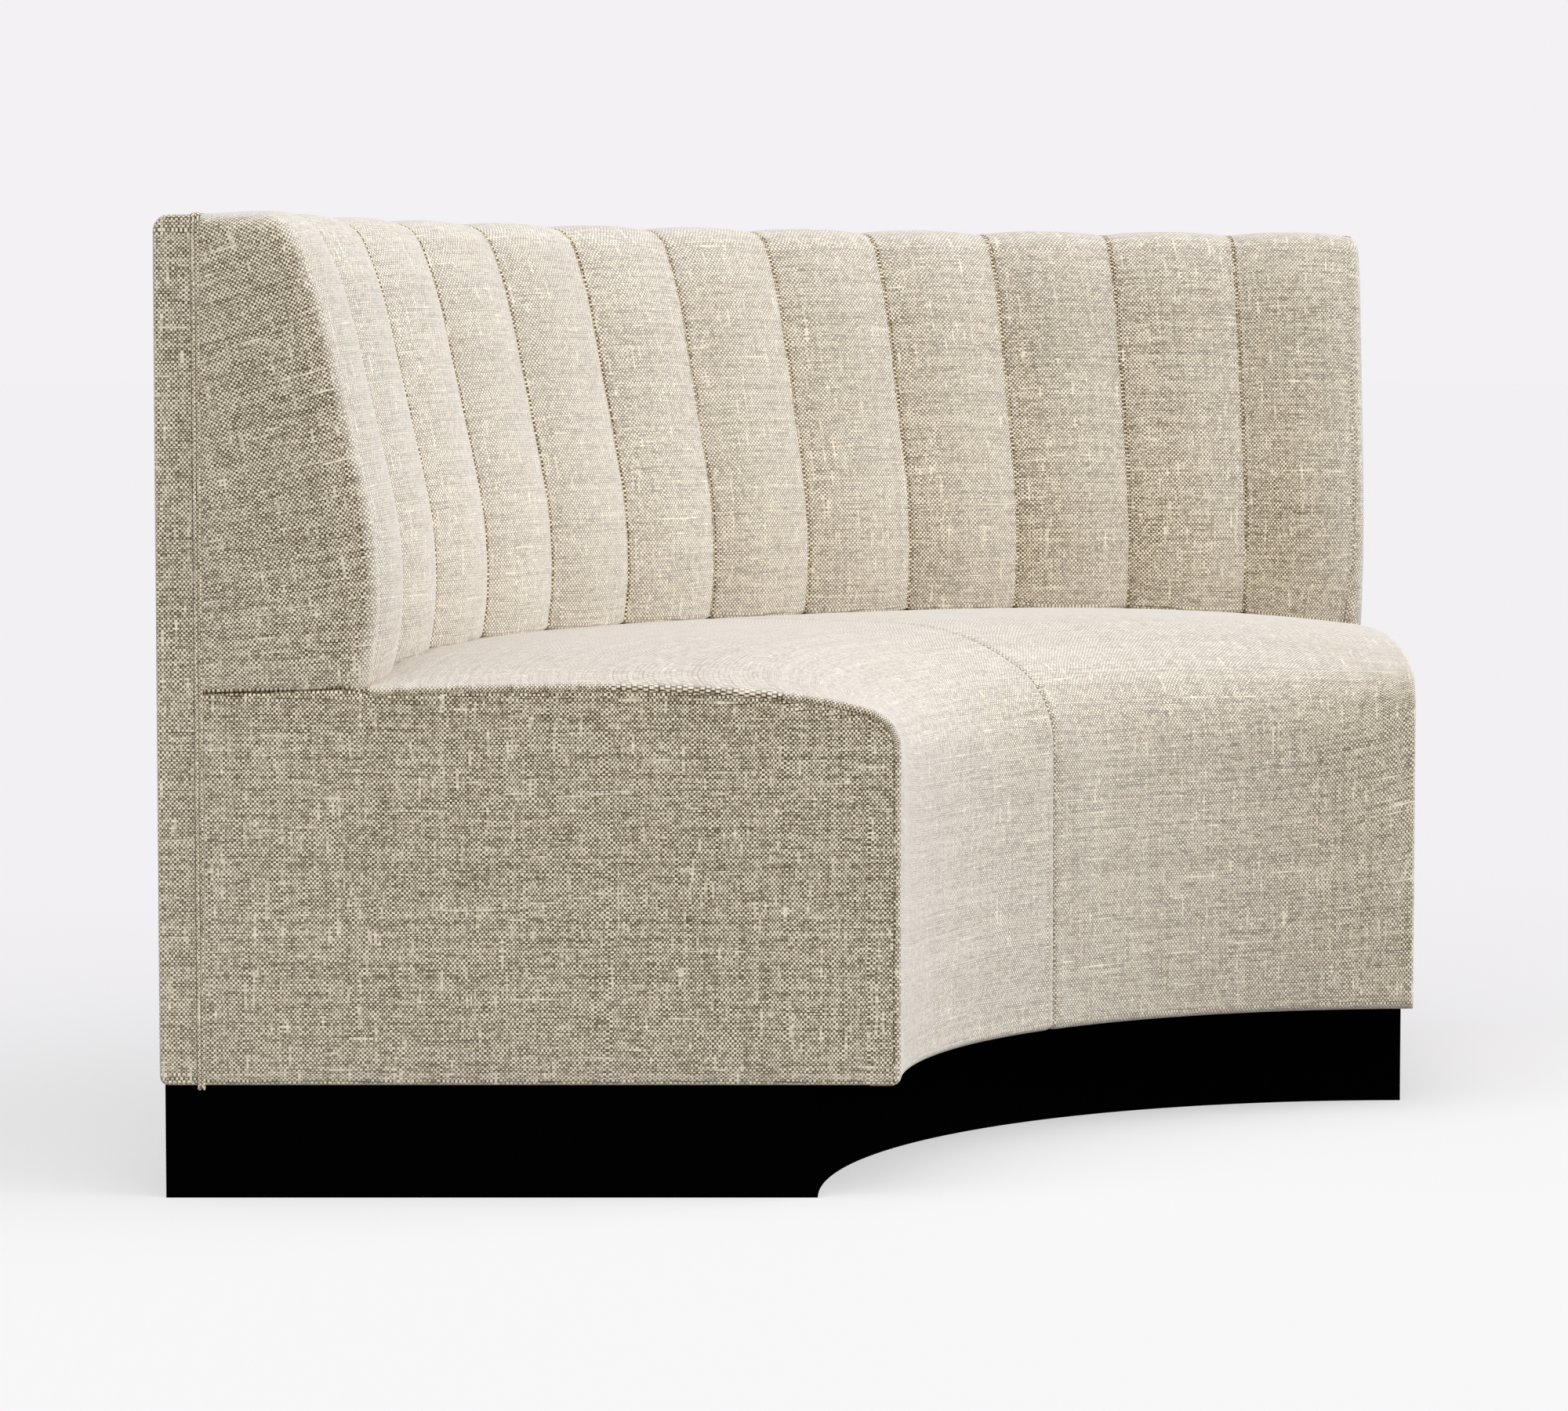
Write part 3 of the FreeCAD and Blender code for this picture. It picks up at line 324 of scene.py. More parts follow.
# Camera: which way it looks, its height, and how far to its right and ahead the arc's axis lies
VIEW_TURN = math.radians(-45.0)
VIEW_DROP = math.radians(4.125)
CAMERA_HEIGHT = 0.8068
CENTRE_RIGHT = 0.6517
CENTRE_AHEAD = 4.7969
FOCAL_LENGTH = 119.25
SENSOR_WIDTH = 36.0
SIGHT = 200.0

# Light: the world's level, and each lamp's place to the right, ahead and up, and its strength
WORLD_LIGHT = 0.38
LAMP_SPREAD = math.radians(80.0)
LAMP_DISTANCE = 3.0
LAMPS = (
    ("side", (0.97, -0.05, 0.17), 1.08),
    ("front", (-0.20, -0.57, 0.79), 0.61),
)


# Places

def place(radius, height, angle):
    """Points at radii, heights and angles, as rows of x, y, z."""
    radius, height, angle = np.broadcast_arrays(radius, height, angle)
    return np.stack([
        radius * np.sin(angle), ARC_CENTRE_Y + radius * np.cos(angle), height,
    ], axis=-1)


def end_angle(radius, setback):
    """The angle at which a plane set back from the left end meets a radius."""
    return np.arcsin(setback / np.asarray(radius)) - HALF_SPAN


def place_by_end(radius, height, setback):
    """Points at radii and heights, set back from the plane of the left end."""
    return place(radius, height, end_angle(radius, setback))


def mix(pair, share):
    """A value between the two of a pair."""
    return pair[0] + (pair[1] - pair[0]) * share


class Path:
    """A line in radius and height, drawn run by run and kept as points."""

    def __init__(self, start, heading):
        self.points = [start]
        self.heading = heading

    def line_to(self, point, steps):
        r, z = self.points[-1]
        for i in range(1, steps + 1):
            t = i / steps
            self.points.append((r + (point[0] - r) * t, z + (point[1] - z) * t))
        return self

    def line(self, length, steps):
        a = math.radians(self.heading)
        r, z = self.points[-1]
        return self.line_to((r + length * math.cos(a), z + length * math.sin(a)), steps)

    def turn(self, radius, degrees, steps):
        """An arc that turns left by some degrees, or right where they are negative."""
        side = 1 if degrees > 0 else -1
        a = math.radians(self.heading)
        r, z = self.points[-1]
        centre = r - side * radius * math.sin(a), z + side * radius * math.cos(a)
        for i in range(1, steps + 1):
            b = a + math.radians(degrees) * i / steps
            self.points.append((
                centre[0] + side * radius * math.sin(b),
                centre[1] - side * radius * math.cos(b),
            ))
        self.heading += degrees
        return self

    def array(self):
        return np.array(self.points)


def lengths(points):
    """Distance along a row of points from its first one."""
    steps = np.linalg.norm(np.diff(points, axis=0), axis=1)
    return np.concatenate([[0.0], np.cumsum(steps)])


# Meshes

def put(name, data):
    """An object in the scene, with its mesh, lamp or camera."""
    made = bpy.data.objects.new(name, data)
    bpy.context.scene.collection.objects.link(made)
    return made


def points_of(piece):
    """The places of an object's points."""
    points = np.empty(len(piece.data.vertices) * 3)
    piece.data.vertices.foreach_get("co", points)
    return points.reshape(-1, 3)


def grid_faces(rows, columns):
    """Faces of a grid of points, wound so that they face out where rows rise and columns go right."""
    faces = []
    for i in range(rows - 1):
        for j in range(columns - 1):
            a = i * columns + j
            faces.append((a, a + 1, a + columns + 1, a + columns))
    return faces


def grid_of(columns):
    """Radii, heights and angles of a grid, from those of its columns."""
    return [np.stack([column[k] for column in columns], axis=1) for k in range(3)]


def quarter_turn(steps):
    """Angles from nothing to a quarter turn."""
    return math.pi / 2 * np.arange(steps + 1) / steps


def rounded(radius, turn):
    """Setbacks and insets round an end's edge, where a quarter turn reaches the end's face."""
    return radius * (1 - np.sin(turn)), radius * (1 - np.cos(turn))


class Sheets:
    """Grids of points that make up one piece, each point with its place in the weave."""

    def __init__(self):
        self.points, self.weave, self.faces, self.pinned, self.inner = [], [], [], [], []
        self.count = 0

    def add(self, points, weave, flip=False, pinned=None, inner=None):
        """Adds a grid; pinned tells how firmly its points are held, inner which faces lie in a fold and
        take the painted fold shade.
        """
        rows, columns = points.shape[:2]
        faces = grid_faces(rows, columns)
        if flip:
            faces = [face[::-1] for face in faces]
        self.faces += [tuple(v + self.count for v in face) for face in faces]
        self.points.append(points.reshape(-1, 3))
        self.weave.append(weave.reshape(-1, 3))
        if pinned is None:
            pinned = np.zeros((rows, columns))
        self.pinned.append(np.asarray(pinned, float).reshape(-1))
        fold_shaded = np.zeros((rows - 1, columns - 1), int)
        if inner is not None:
            fold_shaded[inner] = 1
        self.inner.append(fold_shaded.reshape(-1))
        self.count += rows * columns

    def mirror(self):
        """The same sheets on the other side of X = 0."""
        other = Sheets()
        flipped = np.array([-1.0, 1.0, 1.0])
        other.points = [points * flipped for points in self.points]
        other.weave = [weave * flipped + (0.0, 0.0, MIRROR_SEED) for weave in self.weave]
        other.faces = [face[::-1] for face in self.faces]
        other.pinned = list(self.pinned)
        other.inner = list(self.inner)
        other.count = self.count
        return other

    def make(self, name, material, fold_shade_material=None):
        """The object of the sheets, with its material and, where faces lie in a fold, a darker copy of it
        as painted shade.
        """
        mesh = bpy.data.meshes.new(name)
        points = np.concatenate(self.points)
        mesh.from_pydata(points.tolist(), [], self.faces)
        layer = mesh.attributes.new("weave", "FLOAT_VECTOR", "POINT")
        layer.data.foreach_set("vector", np.concatenate(self.weave).astype(np.float32).ravel())
        mesh.shade_smooth()
        mesh.materials.append(material)
        if fold_shade_material:
            mesh.materials.append(fold_shade_material)
            mesh.polygons.foreach_set("material_index", np.concatenate(self.inner))
        return put(name, mesh)

    def holds(self):
        """How firmly each point is held, from 0, free, to 1, fixed."""
        return np.concatenate(self.pinned)


def weave_of(u, v, seed):
    """Places in the weave, across and along it, with the seed of their stretch of cloth."""
    u, v, seed = np.broadcast_arrays(u, v, float(seed))
    return np.stack([u, v, seed], axis=-1)


def finished(piece, nodes):
    """Puts a piece on its body, in place of CAD nodes, with its finish and its smoothing."""
    smooth = piece.modifiers.new("smooth", "SUBSURF")
    smooth.levels = smooth.render_levels = 1
    smooth.boundary_smooth = "PRESERVE_CORNERS"
    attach(piece, "root")
    if nodes:
        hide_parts(*nodes)


# Seat

def crown_share(angle):
    """How far the seat's crown has risen at an angle, from 0 at the ends to 1."""
    left = np.clip(1 - (HALF_SPAN - np.abs(angle)) / CROWN_REACH, 0.0, None)
    return 1 - left ** CROWN_POWER


def seat_path(share, inset=0.0):
    """The seat's outside in section, from under its front edge to its rear, drawn in by an inset."""
    front = SEAT_FRONT_RADIUS - mix(SEAT_FRONT_CROWN, share) + inset
    roll, roll_angle = mix(ROLL_RADIUS, share), mix(ROLL_ANGLE, share)
    shoulder, shoulder_angle = mix(SHOULDER_RADIUS, share), mix(SHOULDER_ANGLE, share)
    crown, rear_crown = mix(CROWN_RADIUS, share), mix(REAR_CROWN_RADIUS, share)
    c1, c2 = math.cos(math.radians(roll_angle)), math.cos(math.radians(shoulder_angle))
    roll_start = mix(SEAT_TOP, share) - roll * c1 - shoulder * (c2 - c1) - crown * (1 - c2)
    low = PLINTH_HEIGHT + inset
    hem = max(HEM_ROUND - inset, SMALLEST_ROUND)
    path = Path((UNDER_RADIUS, low), 180.0)
    path.line_to((front + hem, low), HEM_STEPS)
    path.turn(hem, -90.0, HEM_STEPS)
    path.line_to((front, roll_start), FRONT_STEPS)
    path.turn(roll - inset, roll_angle - 90.0, ROLL_STEPS)
    path.turn(shoulder - inset, shoulder_angle - roll_angle, SHOULDER_STEPS)
    path.turn(crown - inset, -shoulder_angle, CROWN_STEPS)
    rest = JUNCTION_RADIUS - path.points[-1][0]
    path.turn(rear_crown - inset, -math.degrees(math.asin(rest / rear_crown)), REAR_CROWN_STEPS)
    path.line_to((SPINE_FRONT_RADIUS, SEAT_REAR_HEIGHT - inset), REAR_STEPS)
    return path.array()


def seat_columns():
    """Shares of the way from the end's rounded edge to the middle seam, closer near both."""
    even = np.linspace(0.0, 1.0, SEAT_COLUMNS)
    return np.sort(np.concatenate([even, EDGE_COLUMN_SHARES, SEAM_COLUMN_SHARES]))


def seat_seam_path():
    """The stitched seam on the seat's left end: inside the edge, and close to it under the back."""
    path = seat_path(0.0)
    inner = seat_path(0.0, SEAT_SEAM_INSET)
    seam = path + (inner - path) * edge_share(path[:, 0])[0][:, None]
    seam[:FRONT_ROW, 0] = np.maximum(path[:FRONT_ROW, 0], seam[FRONT_ROW, 0])
    seam[:FRONT_ROW, 1] = path[:FRONT_ROW, 1]
    return seam


def edge_ring():
    """Setbacks and insets of the seat's rounded end edge, from its seam on the end to its side."""
    ring = [
        (SEAM_GROOVE, SEAT_SEAM_INSET),
        (0.25 * SEAM_GROOVE, SEAT_SEAM_INSET - 0.45 * GROOVE_WIDTH),
        (0.0, SEAT_SEAM_INSET - GROOVE_WIDTH),
    ]
    return ring + [rounded(SEAT_EDGE_ROUND, a) for a in quarter_turn(SEAT_EDGE_STEPS)[::-1]]


def edge_share(radius):
    """The share of the end's edge that is left at a radius, and how far it is behind the joint."""
    share = np.interp(radius, *EDGE_SHARES)
    return share, np.clip((1 - share) / JOINT_BEGUN, 0.0, 1.0)


def seat_skin_left():
    """The left half of the seat's fabric, with its rounded end edge and a dip at the middle seam."""
    sheets = Sheets()
    columns = []
    edge = seat_path(0.0)
    seam = seat_seam_path()
    share, behind = edge_share(edge[:, 0])
    for number, (setback, inset) in enumerate(edge_ring()):
        path = edge + (seam - edge) * inset / SEAT_SEAM_INSET
        kept = 1 - behind if number == 0 else share
        setback = setback * kept + JOINT_GROOVE * behind
        columns.append((path[:, 0], path[:, 1], end_angle(path[:, 0], setback)))
    ring = len(columns)
    start = end_angle(JUNCTION_RADIUS, SEAT_EDGE_ROUND)
    for t in seat_columns()[1:]:
        path = seat_path(crown_share(start * (1 - t)))
        angle = end_angle(path[:, 0], SEAT_EDGE_ROUND * share + JOINT_GROOVE * behind) * (1 - t)
        gap = -angle * path[:, 0]
        dip = MIDDLE_SEAM_DIP * np.exp(-((gap / MIDDLE_SEAM_WIDTH) ** 2))
        out = normals_of(path)
        columns.append((path[:, 0] - out[:, 0] * dip, path[:, 1] - out[:, 1] * dip, angle))
    radius, height, angle = grid_of(columns)
    points = place(radius, height, angle)
    along = lengths(seat_path(1.0))[:, None]
    across = angle * WEAVE_RADIUS
    steps = np.linalg.norm(np.diff(points[:, :ring], axis=1), axis=2)
    back = np.cumsum(steps[:, ::-1], axis=1)[:, ::-1]
    across[:, :ring - 1] = across[:, ring - 1:ring] - back
    side = lengths(points[ROLL_ROW])[None, :]
    held = np.maximum(hold(side - side[0, ring - 1]), hold(side[0, -1] - side))
    held = np.maximum(held, hold(height - PLINTH_HEIGHT - HEM_ROUND))
    held = np.maximum(held, hold(SEAT_LOOSE_RADIUS - radius))
    # Faces in the end's seam groove and behind the joint take the darker linen: painted shade
    fold_shaded = np.zeros((len(edge) - 1, points.shape[1] - 1), bool)
    fold_shaded[:, :2] = True
    fold_shaded[behind[1:] > FOLD_SHADED_FROM, :ring + 3] = True
    sheets.add(points, weave_of(across, along, SEAT_SEED), pinned=held, inner=fold_shaded)
    # The end's edge as far as the welt, past the board behind the seat
    last = points[-1, :ring]
    stretch = COVER_REAR_RADIUS - SPINE_FRONT_RADIUS
    strip = np.stack([last, last + LEFT_OUTWARD * stretch])
    weave = weave_of(across[-1:, :ring], along[-1] + np.array([[0.0], [stretch]]), SEAT_SEED)
    sheets.add(strip, weave, pinned=np.ones(strip.shape[:2]))
    return sheets


def hold(distance, reach=HOLD_REACH):
    """1 up to a held edge, and less and less with the distance from it."""
    return np.clip(1 - np.asarray(distance) / reach, 0.0, 1.0) ** HOLD_POWER


def normals_of(path):
    """Directions square to a path of radius and height, out from what it goes round."""
    along = np.gradient(path, axis=0)
    along /= np.linalg.norm(along, axis=1)[:, None]
    return np.stack([-along[:, 1], along[:, 0]], axis=1)


def bulge(radius, height, box, depth):
    """How far an end panel swells at its points: nothing at the rim, most inside."""
    r0, r1, z0, z1 = box
    a = np.clip((radius - r0) / SWELL_RAMP, 0, 1) * np.clip((r1 - radius) / SWELL_RAMP, 0, 1)
    b = np.clip((height - z0) / SWELL_RAMP, 0, 1) * np.clip((z1 - height) / SWELL_RAMP, 0, 1)
    return depth * np.sin(a * math.pi / 2) * np.sin(b * math.pi / 2)


def seat_end_left():
    """The fabric of the seat's left end, from the stitched seam down to its turned bottom edge."""
    seam = seat_seam_path()[ROLL_ROW:]
    last = seam[-1] - seam[-2]
    tail = seam[-1] + last * (COVER_REAR_RADIUS - seam[-1, 0]) / last[0]
    top = np.concatenate([seam, [tail]])
    low = PLINTH_HEIGHT
    rise = np.concatenate([np.linspace(*SEAT_END_ROWS), SEAT_END_LAST_ROWS])[:, None]
    groove = np.zeros((len(rise), len(top)))
    groove[-2:] = 0.25 * SEAM_GROOVE
    groove[-1] = SEAM_GROOVE
    groove[-1] += (JOINT_GROOVE - SEAM_GROOVE) * edge_share(top[:, 0])[1]
    height = low + SEAT_HEM + (top[None, :, 1] - low - SEAT_HEM) * rise
    radius = np.broadcast_to(top[None, :, 0], height.shape)
    box = (SEAT_FRONT_RADIUS, COVER_REAR_RADIUS, low, SEAT_END_TOP)
    swell = bulge(radius, height, box, END_SWELL)
    hem_setback, hem_height = rounded(SEAT_HEM, quarter_turn(3)[:3, None])
    hem_radius = np.broadcast_to(top[None, :, 0], (4, len(top)))
    hem_setback = np.concatenate([[[4 * SEAT_HEM]], hem_setback])
    hem_height = low + np.concatenate([[[0.0]], hem_height])
    radius = np.concatenate([hem_radius, radius])
    height = np.concatenate([hem_height + 0 * hem_radius, height])
    setback = np.concatenate([hem_setback + 0 * hem_radius, groove - swell])
    v = height.copy()
    v[:4] -= hem_setback
    sheets = Sheets()
    points = place_by_end(radius, height, setback)
    # The two rows in the seam's groove take the darker linen: painted shade
    sheets.add(points, weave_of(-radius, v, SEAT_END_SEED), flip=True, inner=slice(-2, None))
    return sheets


# Back

def back_upper():
    """The valley line of the back from its foremost point to where its top is level."""
    lean, shoulder = math.radians(LEAN), math.radians(SHOULDER_LEAN)
    curved = LUMBAR_ARC * math.sin(lean)
    curved += SHOULDER_ARC * (math.sin(shoulder) - math.sin(lean))
    curved += TOP_ROUND * (1 - math.sin(shoulder))
    straight = (OVERALL_HEIGHT - LUMBAR_HEIGHT - curved) / math.cos(lean)
    path = Path((BACK_FRONT_RADIUS, LUMBAR_HEIGHT), 90.0)
    path.turn(LUMBAR_ARC, -LEAN, LUMBAR_STEPS)
    path.line(straight, STRAIGHT_STEPS)
    path.turn(SHOULDER_ARC, LEAN - SHOULDER_LEAN, BACK_SHOULDER_STEPS)
    path.turn(TOP_ROUND, SHOULDER_LEAN - 90.0, TOP_ROUND_STEPS)
    return path.line_to((COVER_REAR_RADIUS, OVERALL_HEIGHT), TOP_STEPS).array()


def back_lower(bottom):
    """The valley line from a height up to the foremost point, without that point."""
    fall = math.asin((LUMBAR_HEIGHT - bottom) / LOWER_ARC)
    a = fall * (1 - np.arange(LOWER_STEPS) / LOWER_STEPS)
    return np.stack([
        BACK_FRONT_RADIUS + LOWER_ARC * (1 - np.cos(a)), LUMBAR_HEIGHT - LOWER_ARC * np.sin(a),
    ], axis=1)


def back_tuck(floor):
    """The valley line with its lower end turned in over a floor height."""
    lower = back_lower(floor + TUCK_ROUND)
    a = quarter_turn(TUCK_STEPS)[:0:-1]
    turned = np.stack([
        lower[0, 0] + TUCK_ROUND * (1 - np.cos(a)), lower[0, 1] - TUCK_ROUND * np.sin(a),
    ], axis=1)
    return np.concatenate([turned, lower])


def back_path(floor):
    """The whole valley line of the back, from a floor height over its top to its rear."""
    return np.concatenate([back_tuck(floor), back_upper()])


def crown_levels(path):
    """Shares of the channels' crown along the valley line."""
    level = np.interp(path[:, 1], CROWN_HEIGHTS, CROWN_SHARES)
    behind = np.clip((path[:, 0] - TOP_CROWN_RADIUS) / (COVER_REAR_RADIUS - TOP_CROWN_RADIUS), 0, 1)
    return level * (1 - 0.5 * behind * (path[:, 1] > TOP_CROWN_HEIGHT))


def junction_height(angle):
    """The height of the seat where the back meets it."""
    return float(np.interp(JUNCTION_RADIUS, *seat_path(float(crown_share(angle)))[ROLL_ROW:].T))


def back_edge_round(height):
    """The round on the edge between the back's end and its front, at a height."""
    return np.interp(height, CORNER_HEIGHTS, (CORNER_ROUND, BACK_EDGE_ROUND))


def back_channels(first, last):
    """The fabric of some of the channels, each swelling between its two seams."""
    sheets = Sheets()
    pitch = 2 * HALF_SPAN / CHANNELS
    crowding = math.pi / 2 * COLUMN_CROWDING
    across = np.sin(np.linspace(-1.0, 1.0, CHANNEL_COLUMNS) * crowding) / math.sin(crowding)
    for index in range(first, last):
        start = index * pitch - HALF_SPAN
        columns = []
        for q in across:
            angle = start + pitch * (q + 1) / 2
            floor = junction_height(angle) + SEAT_CLEARANCE
            path = back_path(floor)
            radius, height = path.T
            near, far = start, start + pitch
            if index == 0:
                near = end_angle(radius, back_edge_round(height))
            middle = (near + far) / 2
            crown = CHANNEL_CROWN * crown_levels(path) * (1 - abs(q) ** CROWN_POINT)
            a, b = place(radius, height, near), place(radius, height, far)
            base = a + (b - a) * ((q + 1) / 2)
            out = normals_of(path)
            direction = np.stack([
                out[:, 0] * np.sin(middle), out[:, 0] * np.cos(middle), out[:, 1],
            ], axis=1)
            columns.append(base + direction * crown[:, None])
        points = np.stack(columns, axis=1)
        u = (across + 1) / 2 * pitch * CROWN_STRETCH
        v = lengths(back_path(junction_height(start + pitch / 2)))
        v = v - v[WEAVE_ROW]
        held = np.zeros(points.shape[:2])
        held[:, (0, -1)] = 1.0
        rear = COVER_REAR_RADIUS - CHANNEL_HELD_REAR - back_path(floor)[:, 0]
        held = np.maximum(held, hold(points[..., 2] - SEAT_TOP[1] - CHANNEL_HELD_FOOT, CHANNEL_HOLD_REACH))
        held = np.maximum(held, hold(rear, CHANNEL_HOLD_REACH)[:, None])
        # Faces in the valleys at the seams take the darker linen: painted shade
        seam_shaded = np.zeros((points.shape[0] - 1, points.shape[1] - 1), bool)
        seam_shaded[:, -1] = True
        seam_shaded[:, 0] = index > 0
        weave = weave_of(u[None, :], v[:, None], CHANNEL_SEED + index)
        sheets.add(points, weave, pinned=held, inner=seam_shaded)
    return sheets


def joint_height(radius):
    """The height of the joint between the back's end and the seat's end."""
    path = seat_path(0.0)[ROLL_ROW:]
    return np.interp(radius, path[:, 0], path[:, 1]) + JOINT_GAP


def back_weave(radius, height):
    """The weave of the back's end, which slants up towards the front, more so near the top."""
    slope = np.interp(height, SLANT_HEIGHTS, SLANTS)
    v = height + (radius - SLANT_RADIUS) * slope
    return weave_of(-radius / np.sqrt(1 + slope ** 2), v, BACK_END_SEED)


def back_end_left():
    """The fabric of the back's left end, rounded over into the first channel's valley line."""
    bottom = float(joint_height(JUNCTION_RADIUS))
    upper = back_upper()
    lower = back_lower(bottom)
    foot = lower[0] + (lower[1] - lower[0]) * np.array([[0.0], [0.06], [0.14]])
    path = np.concatenate([foot, lower[1:], upper[upper[:, 0] <= BACK_TOP_RADIUS]])
    out = normals_of(path)
    edge = back_edge_round(path[:, 1])[:, None]
    turn = quarter_turn(EDGE_STEPS)[None, :]
    setback, inset = rounded(edge, turn)
    radius, height = path[:, :1] - out[:, :1] * inset, path[:, 1:] - out[:, 1:] * inset
    # The weave runs on round the edge by the length of its arc
    run_on = edge * (math.pi / 2 - turn - 1) + inset
    # The flat part, from the rounded edge to the rear
    flat = np.linspace(0.0, 1.0, BACK_END_COLUMNS + 1)[None, 1:]
    last = radius[:, -1:]
    radius = np.concatenate([radius, last + (COVER_REAR_RADIUS - last) * flat], axis=1)
    height = np.concatenate([height, height[:, -1:] + 0 * flat], axis=1)
    none = 0 * last * flat
    setback, run_on = (np.concatenate([rounded, none], axis=1) for rounded in (setback, run_on))
    drop = joint_height(radius) - height[0, -1]
    height = height + drop * np.clip(1 - (height - height[0]) / JOINT_FADE, 0.0, 1.0)
    box = (BACK_END_FRONT, COVER_REAR_RADIUS, BACK_END_LOW, OVERALL_HEIGHT)
    swell = bulge(radius, height, box, END_SWELL)
    swell[:, :EDGE_STEPS + 1] = 0.0
    weave = back_weave(radius + out[:, :1] * run_on, height + out[:, 1:] * run_on)
    setback = setback - swell
    setback[:2] += np.array([[1.0], [0.3]]) * JOINT_GROOVE
    # A flap turned in over the seat, which closes the joint; it and the groove above it take the darker
    # linen as painted shade
    radius = np.concatenate([radius[:1], radius])
    height = np.concatenate([height[:1] - FLAP_DROP, height])
    setback = np.concatenate([setback[:1] + JOINT_FLAP, setback])
    sheets = Sheets()
    points = place_by_end(radius, height, setback)
    sheets.add(points, np.concatenate([weave[:1], weave]), inner=slice(0, 3))
    # The strip along the top, behind the channels' front
    top = np.linspace(path[-1, 0], COVER_REAR_RADIUS, TOP_STRIP_ROWS)[:, None]
    setback, inset = rounded(BACK_EDGE_ROUND, turn)
    level = OVERALL_HEIGHT - inset + 0 * top
    radius = top + 0 * turn
    points = place_by_end(radius, level, setback)
    sheets.add(points, back_weave(radius, level + setback))
    return sheets


# Slab

def slab_path(inset=0.0):
    """The slab's outside in section, from its bottom over its rear to its top, less an inset."""
    low, high = PLINTH_HEIGHT + inset, OVERALL_HEIGHT - inset
    rear = OUTER_RADIUS - inset
    path = Path((SLAB_FRONT_RADIUS, low), 0.0)
    path.line_to((rear - HEM_ROUND + inset, low), HEM_STEPS)
    path.turn(HEM_ROUND - inset, 90.0, HEM_STEPS)
    path.line_to((rear, high - SLAB_TOP_ROUND + inset), SLAB_REAR_STEPS)
    path.turn(SLAB_TOP_ROUND - inset, 90.0, SLAB_TOP_STEPS)
    path.line_to((SLAB_FRONT_RADIUS, high), HEM_STEPS)
    return path.array()


def slab_cover():
    """The slab's fabric: its rear, top and bottom, and its two ends with rounded edges."""
    sheets = Sheets()
    columns = []
    for a in quarter_turn(SLAB_EDGE_STEPS)[::-1]:
        setback, inset = rounded(SLAB_EDGE_ROUND, a)
        path = slab_path(inset)
        columns.append((path[:, 0], path[:, 1], end_angle(path[:, 0], setback)))
    left = list(columns)
    ring = len(left)
    path = slab_path()
    start = end_angle(path[:, 0], SLAB_EDGE_ROUND)
    for t in np.linspace(0.0, 1.0, SLAB_COLUMNS)[1:-1]:
        columns.append((path[:, 0], path[:, 1], start * (1 - 2 * t)))
    columns += [(r, z, -a) for r, z, a in left[::-1]]
    radius, height, angle = grid_of(columns)
    points = place(radius, height, angle)
    u = angle * OUTER_RADIUS
    edge = np.cumsum(np.linalg.norm(np.diff(points[:, ring - 1::-1], axis=1), axis=2), axis=1)[:, ::-1]
    u[:, :ring - 1] = u[:, ring - 1:ring] - edge
    u[:, 1 - ring:] = -u[:, ring - 2::-1]
    first = 2 * HEM_STEPS
    v = lengths(path) - lengths(path)[first] + path[first, 1]
    sheets.add(points, weave_of(u, v[:, None], SLAB_SEED), flip=True)
    # The flat ends, whose weave runs on from the rear's
    rear = slab_path(SLAB_EDGE_ROUND)[HEM_STEPS:-HEM_STEPS]
    front = np.stack([np.full(len(rear), SLAB_FRONT_RADIUS), rear[:, 1]], axis=1)
    face = np.stack([front + (rear - front) * t for t in np.linspace(0, 1, SLAB_END_COLUMNS)], axis=1)
    radius, height = face[..., 0], face[..., 1]
    across = float(u[SLAB_MATCH_ROW, 0]) - (OUTER_RADIUS - SLAB_EDGE_ROUND - radius)
    for side in (1, -1):
        points = place(radius, height, end_angle(radius, 0.0) * side)
        sheets.add(points, weave_of(across * side, height, SLAB_SEED), flip=side > 0)
    return sheets


# Welt

def tube(centres, ups, radius, sides):
    """A round cord about a row of centres, with its weave's rows running along it."""
    along = np.gradient(centres, axis=0)
    along /= np.linalg.norm(along, axis=1)[:, None]
    rights = np.cross(along, ups)
    rights /= np.linalg.norm(rights, axis=1)[:, None]
    ups = np.cross(rights, along)
    turn = np.linspace(0.0, 2 * math.pi, sides + 1)
    ring = np.cos(turn)[None, :, None] * rights[:, None] + np.sin(turn)[None, :, None] * ups[:, None]
    points = centres[:, None] + ring * (np.ones(len(centres)) * radius)[:, None, None]
    u = lengths(centres)[:, None] + 0 * turn[None, :]
    v = 0 * u + turn[None, :] * np.max(radius)
    return points, u, v


def double_cord(centres_at, ups, thickness, crests, seed):
    """Two cords side by side, with their centres at a radius, and how far round their crests are."""
    sheets = Sheets()
    for number, side in enumerate((-1, 1)):
        centres = centres_at(WELT_RADIUS + side * (WELT_CORD_RADIUS - WELT_CORD_OVERLAP))
        up = np.broadcast_to(ups[number], centres.shape)
        points, u, v = tube(centres, up, thickness, WELT_SIDES)
        v = v - crests[number] * WELT_CORD_RADIUS
        sheets.add(points, weave_of(u, v, seed + number), flip=True)
    return sheets


